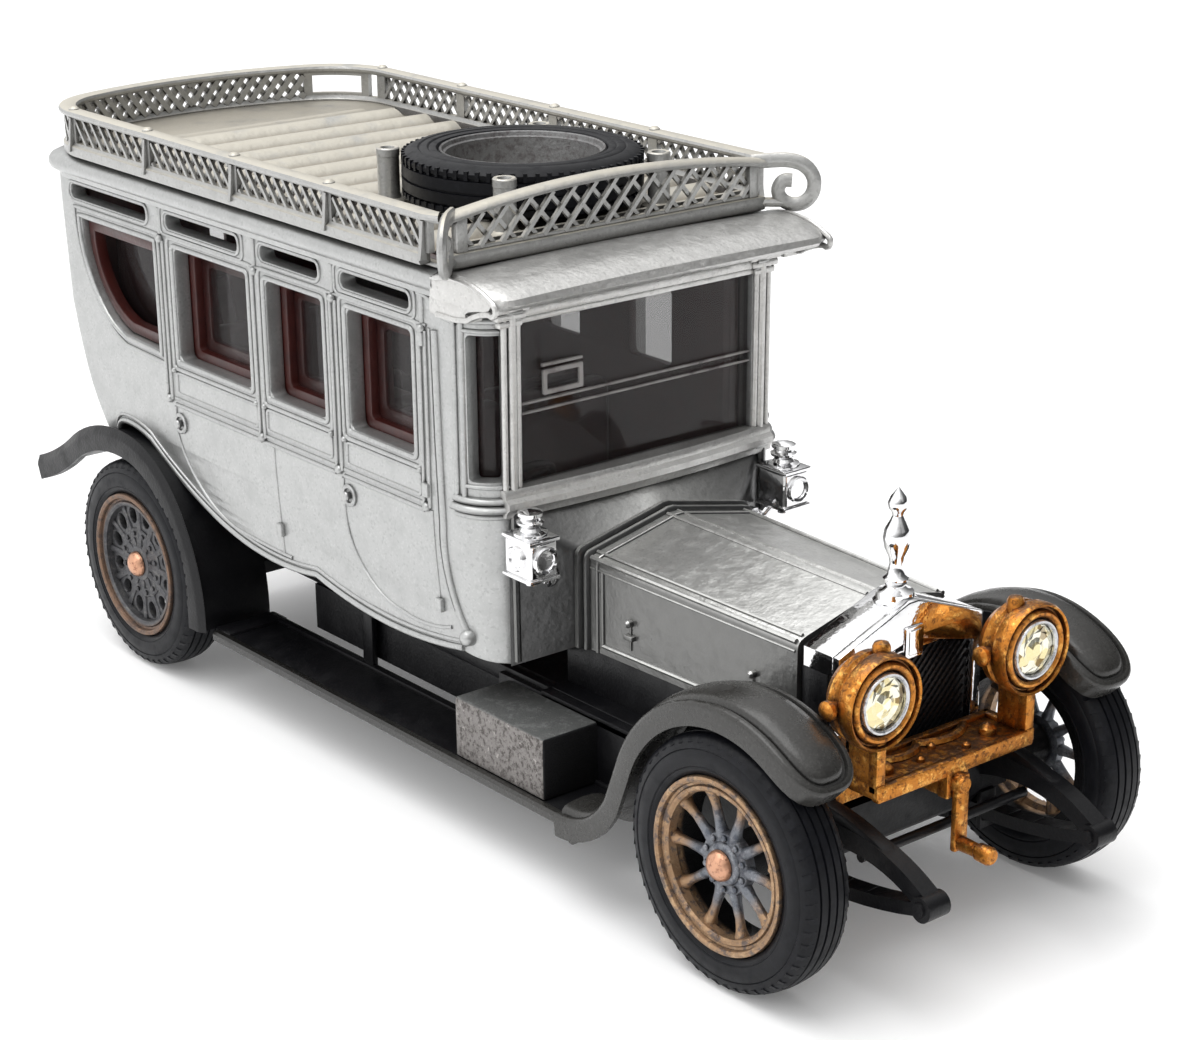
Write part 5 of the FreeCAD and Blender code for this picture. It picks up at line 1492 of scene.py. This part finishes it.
def side_lamp(name, side):
    """Bright coach lamp: bevelled case, round lenses, stepped cowl, bracket arm."""
    x, y, z = side * 13.8, -17.1, 24.4
    shape = Shape()
    shape.block(x - 1.4, x + 1.4, y - 1.75, y + 1.75, z, z + 3.3, 0.34, 3)
    for z0, z1 in ((z + 3.1, z + 3.5), (z - 0.15, z + 0.2)):
        shape.block(x - 1.55, x + 1.55, y - 1.9, y + 1.9, z0, z1, 0.14)
    shape.turn([(3.4, 1.45), (3.7, 1.4), (3.85, 0.95), (4.1, 0.8), (4.3, 0.85), (4.4, 1.1),
                (4.6, 1.15), (4.75, 0.9), (4.95, 0.85), (5.1, 1.05), (5.35, 1.05),
                (5.5, 0.75), (5.62, 0.05)], (x, y, z), "z", 24)
    shape.turn([(0.35, 0.1), (0.0, 0.7), (-0.35, 0.75), (-0.5, 0.4), (-0.75, 0.45),
                (-0.9, 0.05)], (x, y, z - 0.1), "z", 16)
    lens = [(0.0, 1.15), (0.3, 1.18), (0.42, 1.05), (0.34, 0.85), (0.2, 0.8), (0.3, 0.05)]
    shape.turn([(1.7 + d, r) for d, r in lens], (x, y, z + 1.7), "y", 22, -1)
    shape.turn([(1.35 + d, r * 0.9) for d, r in lens], (x, y, z + 1.7), "x", 22, side)
    shape.tube([(x - side * 0.5, y + 0.6, z + 0.2), (side * 12.4, y + 0.9, z - 0.9),
                (side * 11.2, y + 1.3, z - 1.0)], [0.5, 0.42, 0.6], 10)
    shape.turn([(-0.4, 0.9), (0.3, 0.9), (0.55, 0.6), (0.6, 0.05)],
               (side * 11.2, y + 1.0, z - 1.0), "y", 14, -1)
    shape.done("coach_lamp_" + name, M["chrome"], nodes=("side_lamp_" + name,), slot="chrome")


for name, side in SIDES:
    headlamp(name, side)
    side_lamp(name, side)
lamp_bracket()


# ------------------------------------------------------------------ mudguards and boards
EDGE = [(0.0, -1.9), (0.0, -0.40), (0.08, -0.14), (0.26, 0.0), (0.56, 0.0), (0.68, -0.26),
        (0.86, -0.26), (1.0, 0.06), (1.3, 0.30), (2.1, 0.46)]  # skirt, rim, groove, panel


def wing_path(points):
    """Side view line walked by distance: returns fn(d) -> (y, z, ny, nz), and its length."""
    dist = distances(points)

    def at(d):
        i, t = between(dist, max(0.0, min(dist[-1], d)))
        y, z = mix(points[i][0], points[i + 1][0], t), mix(points[i][1], points[i + 1][1], t)
        p, q = points[max(i - 1, 0)], points[min(i + 2, len(points) - 1)]
        dy, dz = q[0] - p[0], q[1] - p[1]
        n = math.hypot(dy, dz)
        return y, z, -dz / n, dy / n

    return at, dist[-1]


def on_wheel(yc, r, degrees):
    a = math.radians(degrees)
    return (yc - r * math.cos(a), AXLE_Z + r * math.sin(a))


def fender(shape, points, x0, x1, nose, sheet=0.85):
    """Sheet with a skirted, rolled edge and a raised centre panel; nose rounds its tip."""
    at, length = wing_path(points)
    half = (x1 - x0) / 2
    mid = (x0 + x1) / 2
    edge = [(e, h) for e, h in EDGE if e < half - 0.3] + [(half, EDGE[-1][1] + 0.06)]
    columns = [(e, h, 1) for e, h in edge] + [(e, h, -1) for e, h in reversed(edge[:-1])]
    under = [(e, h - sheet, s) for e, h, s in reversed(columns) if e > 0.3]
    loop = columns + [(0.42, EDGE[0][1], -1)] + under + [(0.42, EDGE[0][1], 1)]
    rows = []
    n = 90
    bulge = 2.9
    for i in range(n + 1):
        row = []
        for e, h, s in loop:
            e = min(e, half)
            wide = half - e
            if nose:
                d = e + (length - e) * (i / n) ** 1.9
                k = min(1.0, (d - e) / max(nose - e, 0.6))
                wide *= (1 - (1 - k) ** bulge) ** (1 / bulge)
            else:
                d = length * i / n
            y, z, ny, nz = at(d)
            row.append((mid + s * wide, y + ny * h, z + nz * h))
        rows.append(row)
    shape.grid(rows, wrap=True)


def mudguards():
    """Front wings, black rear wing sheets with their edges, inner walls and brackets."""
    yf = AXLE_Y["front"]
    wings = Shape()
    front = chain([on_wheel(yf, 12.7, a) for a in range(42, 163, 3)],
                  arc((-32.2, 13.3), (-29.8, 9.0), (-25.2, 7.5), 8)[2:])
    fender(wings, front, WING_IN, WING_OUT, 5.2)
    rear = chain(arc((28.6, 6.6), (29.1, 11.8), (31.2, 16.6), 8),
                 arc((31.2, 16.6), (35.6, 21.2), (41.5, 22.8), 12),
                 arc((41.5, 22.8), (46.5, 22.2), (51.0, 20.2), 8),
                 arc((51.0, 20.2), (54.5, 18.0), (TAIL_Y - 0.3, 16.2), 8))
    edges = Shape()
    fender(edges, rear, 17.35, 18.25, 0, 0.7)
    edges.both()
    edges.done("rear_wing_edges", M["black"], slot="black_paint")
    wings.both()
    wings.done("mudguards", M["charcoal"], nodes=("mudguard_casting",), slot="charcoal_paint")
    inner = Shape()
    at, length = wing_path(rear)
    sheet = [at(length * i / 40) for i in range(41)]
    ring = [(y - 0.05 * ny, z - 0.05 * nz) for y, z, ny, nz in sheet]
    ring += [(y - 0.65 * ny, z - 0.65 * nz) for y, z, ny, nz in reversed(sheet)]
    inner.grid([[(x, y, z) for y, z in ring] for x in (10.4, 17.6)], wrap=True)
    skirt = [(y - 0.3 * ny, z - 0.3 * nz) for y, z, ny, nz in sheet if z > 12.4 and y < 50]
    skirt += [(49.4, 12.2), (30.0, 12.2)]
    inner.plate([skirt], -0.4, 0.4, side_plane(10.8, 1), 0.1)
    skirt = [on_wheel(yf, 12.3, a) for a in range(58, 158, 4)]
    skirt += [(-32.6, 11.9), (-38.4, 11.9), (-38.4, 17.5)]
    inner.plate([skirt], -0.4, 0.4, side_plane(12.3, 1), 0.1)
    for limits in ((7.3, 8.1, -41.8, -14.4, 12.5, 17.2, 0.1),
                   (8.0, 11.0, -41.8, -14.4, 11.8, 12.7, 0.15),
                   (10.4, 11.0, -26.0, -8.6, 5.8, 12.5, 0.12),
                   (10.4, 11.0, 10.4, 12.0, 5.8, 15.4, 0.12),
                   (9.2, 10.4, -14.6, 13.0, 11.4, 12.9, 0.2),
                   (10.3, 12.0, 8.2, 13.4, 14.2, 15.2, 0.2)):
        inner.block(*limits)
    inner.both()
    inner.block(-10.0, 10.0, -41.0, 50.4, 11.9, 12.8, 0.2)
    inner.done("inner_wings", M["black"], slot="black_paint")


def running_boards():
    """Boards with a rolled outer edge strip and a smooth black tread."""
    t = BOARD_TOP
    strip = [(16.5, t - 0.25), (16.6, t + 0.02), (16.8, t + 0.08), (17.2, t + 0.04),
             (BOARD_OUT, t - 0.2), (BOARD_OUT, t - 0.75), (17.2, t - 0.95), (16.9, t - 1.15),
             (16.3, t - 1.2), (16.2, t - 0.8)]
    edge = Shape()
    edge.grid([[(x, y, z) for x, z in strip] for y in (-27.4, -10, 10, 27.6)], wrap=True)
    edge.turn([(-0.7, 0.05), (-0.7, 0.55), (0.7, 0.55), (0.7, 0.05)], (16.9, -26.6, t - 1.2),
              "x", 12)
    edge.both()
    edge.done("board_edges", M["charcoal"], slot="charcoal_paint")
    tread = Shape()
    tread.block(10.2, 16.7, -26.0, 28.0, t - 1.15, t - 0.06, 0.12)
    tread.block(10.5, 11.3, -24.6, 28.0, t - 0.3, t + 0.3, 0.15)
    tread.block(10.2, 16.8, 25.6, 28.2, t - 1.0, t + 0.25, 0.3)
    tread.both()
    tread.done("board_treads", M["black"], slot="black_paint")


def chest():
    """Plain cast box on the right-hand board."""
    lo, hi = box("toolbox")
    shape = Shape()
    shape.block(lo.x, hi.x, lo.y, hi.y, lo.z, hi.z, 0.22, 3)
    shape.done("tool_chest", M["zinc"], nodes=("toolbox",), slot="zinc")


mudguards()
running_boards()
chest()


# ------------------------------------------------------------------ chassis front
def front_springs():
    """Dumb irons, stacked leaves, axle beam and steering rods at the front."""
    shape = Shape()
    iron = chain([(-42.0, 12.9)], arc((-46.0, 13.2), (-52.5, 12.2), (-57.6, 9.3), 12))
    section = [(-0.75, 0.2), (-0.6, 0.45), (-0.3, 0.5), (0.3, 0.5), (0.6, 0.45), (0.75, 0.2),
               (0.75, -0.5), (0.55, -0.8), (-0.55, -0.8), (-0.75, -0.5)]
    x = 9.2
    last = len(iron) - 1
    rows = []
    for i, (y, z) in enumerate(iron):
        p, q = iron[max(i - 1, 0)], iron[min(i + 1, last)]
        dy, dz = q[0] - p[0], q[1] - p[1]
        tall = mix(1.15, 0.62, i / last) / math.hypot(dy, dz)
        rows.append([(x + a, y + dz * h * tall, z - dy * h * tall) for a, h in section])
    shape.grid(rows, wrap=True)
    shape.turn([(-1.3, 0.05), (-1.3, 0.55), (-0.95, 0.6), (-0.95, 0.95), (0.95, 0.95),
                (0.95, 0.6), (1.3, 0.55), (1.3, 0.05)], (x, -57.9, 9.2), "x", 18)
    strip = [(-0.66, -0.14), (0.66, -0.14), (0.66, 0.14), (-0.66, 0.14)]
    for k in range(4):
        shrink = 2.6 * k
        leaf = arc((-57.4 + shrink, 8.75 - 0.26 * k - 0.012 * shrink), (-45.2, 7.0 - 0.34 * k),
                   (-33.4 + shrink, 8.75 - 0.26 * k), 16)
        shape.sweep([(x, y, z) for y, z in leaf], strip)
    for y in (-46.4, -44.6, -42.9):
        shape.block(x - 0.85, x + 0.85, y - 0.25, y + 0.25, 5.6, 8.9, 0.1)
    shape.block(x - 0.7, x + 0.7, -34.2, -33.0, 7.4, 11.4, 0.2)
    shape.both()
    y = AXLE_Y["front"]
    beam = [(8.0, y - 0.2, 8.4), (10.4, y, 9.5), (12.6, y, 9.6)]
    shape.tube([(-x, y, z) for x, y, z in reversed(beam)] + beam, 0.95, 10, (0, 1, 0))
    for half, y, z, r, n in ((9.0, -50.5, 10.2, 0.42, 10), (11.6, -41.9, 8.9, 0.38, 8)):
        shape.tube([(-half, y, z), (half, y, z)], r, n)
    shape.done("front_springs", M["black"], slot="black_paint")


front_springs()


# ------------------------------------------------------------------ running gear
def tyre(shape, side, yc):
    """Narrow tyre: moulded wall lines, shoulder sipes and three tread grooves."""
    r = TYRE_R
    m = (TYRE_IN + TYRE_OUT) / 2
    half = [(0.0, 0.0), (0.28, 0.0), (0.32, -0.16), (0.46, -0.16), (0.50, -0.02), (1.05, -0.07),
            (1.08, -0.22), (1.2, -0.22), (1.24, -0.10), (1.65, -0.22), (1.95, -0.48),
            (2.13, -0.85), (2.2, -1.15), (2.12, -1.22), (2.2, -1.32), (2.275, -2.0),
            (2.27, -2.5), (2.18, -2.58), (2.22, -2.72), (2.05, RIM_R - r + 0.1),
            (1.9, RIM_R - r)]
    profile = [(m + x, r + h) for x, h in half] + [(m - x, r + h) for x, h in half[:0:-1]]
    shape.ring(profile, (0, yc, AXLE_Z), "x", 108, side)
    count = 54
    for k in range(count):
        a = 2 * math.pi * (k + 0.5) / count
        for s in (1, -1):
            sipe = []
            for x, h in ((1.28, -0.26), (1.75, -0.46), (2.0, -0.76)):
                b = a + 0.03 * (x - 1.2) * s
                sipe.append((side * (m + s * x), yc + (r + h) * math.cos(b),
                             AXLE_Z + (r + h) * math.sin(b)))
            shape.sweep(sipe, [(-0.30, -0.1), (0.30, -0.1), (0.26, 0.15), (-0.26, 0.15)],
                        (0, math.cos(a), math.sin(a)))


def felloe(shape, s, yc):
    """Outer ring of a wheel, with two raised ridges on its face."""
    face = [(18.2, 0), (18.48, 0.08), (18.55, 0.3), (18.42, 0.5), (18.1, 0.58), (18.05, 0.78),
            (18.2, 0.9), (18.22, 1.15), (18.05, 1.32), (17.3, 1.36)]
    profile = [(14.3, 6.3), (14.3, RIM_R)] + [(x, RIM_R - d) for x, d in face] + [(16.9, 6.1)]
    shape.ring(profile, (0, yc, AXLE_Z), "x", 84, s)


def front_rim(shape, s, yc):
    """Ten tapered spokes between a stepped hub and a double-ridged felloe."""
    def spot(x, r, a):
        return (x, yc + r * math.cos(a), AXLE_Z + r * math.sin(a))

    shape.ring([(13.1, BORE), (13.1, 1.9), (16.5, 1.9), (16.6, 2.45), (17.35, 2.5),
                (17.5, 2.4), (17.52, 1.75), (17.75, 1.65), (17.85, 1.5), (17.85, BORE)],
               (0, yc, AXLE_Z), "x", 44, s)
    spoke = [(1.6, 0.50, 17.0), (2.4, 0.52, 17.08), (3.2, 0.42, 17.1), (4.4, 0.36, 17.12),
             (5.2, 0.42, 17.2), (5.8, 0.62, 17.25), (6.3, 0.75, 17.2)]
    bolt = [(0.0, 0.05), (0.0, 0.27), (0.26, 0.27), (0.36, 0.18), (0.38, 0.05)]
    for i in range(10):
        a = 2 * math.pi * i / 10
        shape.tube([spot(s * x, r, a) for r, w, x in spoke], [w for r, w, x in spoke], 10,
                   (1, 0, 0))
        b = a + math.pi / 10
        shape.turn([(17.4 + h, r) for h, r in bolt], spot(0, 2.08, b), "x", 8, s)
        shape.turn([(18.0 + h * 0.7, r * 0.8) for h, r in bolt], spot(0, 5.95, b), "x", 8, s)


def rear_rim(shape, s, yc):
    """Broad pierced disc with a ridged boss, inside the same felloe."""
    count = 12
    holes = []
    for i in range(count):
        a = 2 * math.pi * (i + 0.5) / count
        c, d = math.cos(a), math.sin(a)
        oval = [(4.75 + 0.85 * u, 0.66 * v) for u, v in circle(0, 0, 1, 14)]
        holes.append([(u * c - v * d, u * d + v * c) for u, v in oval])
    shape.plate([circle(0, 0, 6.3, 60), circle(0, 0, 0.9, 20)] + holes, -0.35, 0.35,
                lambda a, b, h: (s * (17.05 + h), yc + a, AXLE_Z + b), 0.1)
    for i in range(count):
        a = 2 * math.pi * i / count
        pts = [(s * 17.25, yc + r * math.cos(a), AXLE_Z + r * math.sin(a))
               for r in (1.5, 3.5, 5.0, 6.2)]
        shape.tube(pts, [0.55, 0.42, 0.36, 0.5], 8, (1, 0, 0))
    shape.ring([(13.1, BORE), (13.1, 1.9), (16.6, 1.9), (16.7, 3.45), (17.5, 3.45),
                (17.62, 3.3), (17.62, 2.6), (17.5, 2.5), (17.5, 1.8), (17.75, 1.7),
                (17.85, 1.5), (17.85, BORE)], (0, yc, AXLE_Z), "x", 48, s)
    for i in range(count):
        a = 2 * math.pi * (i + 0.5) / count
        shape.turn([(17.5, 0.05), (17.5, 0.26), (17.78, 0.26), (17.88, 0.15), (17.9, 0.05)],
                   (0, yc + 2.95 * math.cos(a), AXLE_Z + 2.95 * math.sin(a)), "x", 8, s)


def axle_pin(end):
    """Plain pin with a domed head at each end."""
    head = [(0, 0.05), (0.06, 0.5), (0.3, 0.95), (0.6, 1.2), (0.9, 1.25), (0.92, 0.8)]
    pin = Shape()
    pin.turn([(d - HEAD_X, r) for d, r in head] + [(HEAD_X - d, r) for d, r in reversed(head)],
             (0, AXLE_Y[end], AXLE_Z), "x", 20)
    pin.done("axle_pin_" + end, M["copper"], end + "_axle", (end + "_axle",), "copper_head")


BORE = 0.85
for end, spokes in (("front", front_rim), ("rear", rear_rim)):
    for name, side in SIDES:
        where = end + "_" + name
        rim = Shape()
        felloe(rim, side, AXLE_Y[end])
        spokes(rim, side, AXLE_Y[end])
        rim.done("rim_" + where, M["rim_" + end], "wheel_" + where, ("wheel_rim_" + where,),
                 "rim_bronze")
        tread = Shape()
        tyre(tread, side, AXLE_Y[end])
        tread.done("tread_" + where, M["rubber"], "wheel_" + where, ("tyre_" + where,),
                   "rubber_tyre")
    axle_pin(end)


# ------------------------------------------------------------------ carried-over CAD nodes


def carried_over():
    """Hidden parts kept from the CAD model, given a finish and softened edges."""
    finish = {"chassis_frame": M["black"], "base_screws": M["ring"], "steering_wheel": M["black"]}
    for node, material in finish.items():
        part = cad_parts[node]
        part.data.materials.clear()
        part.data.materials.append(material)
        soften = part.modifiers.new("soft_edges", "BEVEL")
        soften.width = 0.08 * MM
        soften.segments = 2
        soften.limit_method = "ANGLE"


carried_over()


# ------------------------------------------------------------------ stage, light, camera
def floor():
    """Pale paper under the car."""
    mesh = bpy.data.meshes.new("studio_floor")
    r = 3.0
    mesh.from_pydata([(-r, -r, 0), (r, -r, 0), (r, r, 0), (-r, r, 0)], [], [(0, 1, 2, 3)])
    look = Look("studio_paper", (0.93, 0.93, 0.93), 0.6)
    look.tint((0.90, 0.90, 0.905), look.spots(60.0, 0.4, 0.7, 2))
    look.bump(0.01, 1.2, 3)
    look.set("Emission Color", (1, 1, 1, 1))
    look.set("Emission Strength", 0.10)
    mesh.materials.append(look.done())
    sheet = bpy.data.objects.new("studio_floor", mesh)
    bpy.context.scene.collection.objects.link(sheet)


def sky():
    """White backdrop for the camera; surfaces see a soft dome, bright above and to the left."""
    world = bpy.data.worlds.new("studio")
    bpy.context.scene.world = world
    world.use_nodes = True
    nodes, link = world.node_tree.nodes, world.node_tree.links.new
    white = (1, 1, 1, 1)
    bright = nodes["Background"]
    bright.inputs[0].default_value = white
    bright.inputs[1].default_value = 1.0
    dot = nodes.new("ShaderNodeVectorMath")
    dot.operation = "DOT_PRODUCT"
    dot.inputs[1].default_value = Vector((-0.42, 0.34, 0.84)).normalized() * 0.5
    link(nodes.new("ShaderNodeTexCoord").outputs["Generated"], dot.inputs[0])
    lift = nodes.new("ShaderNodeMath")
    lift.operation = "ADD"
    lift.inputs[1].default_value = 0.5
    link(dot.outputs["Value"], lift.inputs[0])
    ramp = nodes.new("ShaderNodeValToRGB")
    link(lift.outputs[0], ramp.inputs[0])
    stops = ramp.color_ramp.elements
    stops[0].position, stops[0].color = 0.28, (0.03, 0.03, 0.032, 1)
    stops[1].position, stops[1].color = 0.95, white
    for where, grey in ((0.48, 0.14), (0.64, 0.46), (0.75, 0.95)):
        stops.new(where).color = (grey, grey, grey, 1)
    room = nodes.new("ShaderNodeBackground")
    link(ramp.outputs[0], room.inputs[0])
    room.inputs[1].default_value = 1.25
    pick = nodes.new("ShaderNodeMixShader")
    link(nodes.new("ShaderNodeLightPath").outputs["Is Camera Ray"], pick.inputs[0])
    link(room.outputs[0], pick.inputs[1])
    link(bright.outputs[0], pick.inputs[2])
    link(pick.outputs[0], nodes["World Output"].inputs[0])


def studio_lamp(name, place, size, watts):
    """Soft rectangular lamp aimed at the car."""
    data = bpy.data.lights.new(name, "AREA")
    data.shape = "RECTANGLE"
    data.size, data.size_y = size
    data.energy = watts
    item = bpy.data.objects.new(name, data)
    bpy.context.scene.collection.objects.link(item)
    item.location = place
    aim = Vector((0, 0, 0.02)) - Vector(place)
    item.rotation_euler = aim.to_track_quat("-Z", "Y").to_euler()


def camera():
    azimuth, elevation = math.radians(-40.37), math.radians(21.466)
    back = Vector((math.sin(azimuth) * math.cos(elevation),
                   -math.cos(azimuth) * math.cos(elevation), math.sin(elevation)))
    data = bpy.data.cameras.new("camera")
    data.lens = 79.18
    data.sensor_width = 36
    data.shift_x = -0.0468
    data.shift_y = 0.0839
    data.clip_start = 0.005
    item = bpy.data.objects.new("camera", data)
    bpy.context.scene.collection.objects.link(item)
    item.location = (-0.1351, -0.1753, 0.0987)
    item.rotation_euler = back.to_track_quat("Z", "Y").to_euler()
    bpy.context.scene.camera = item


floor()
sky()
studio_lamp("overhead_soft", (-0.10, 0.05, 0.55), (0.50, 0.40), 1.7)
studio_lamp("left_window", (-0.60, 0.10, 0.32), (0.40, 0.40), 0.32)
studio_lamp("front_fill", (0.10, -0.55, 0.30), (0.30, 0.30), 0.06)
camera()
bpy.context.scene.view_settings.view_transform = "Standard"
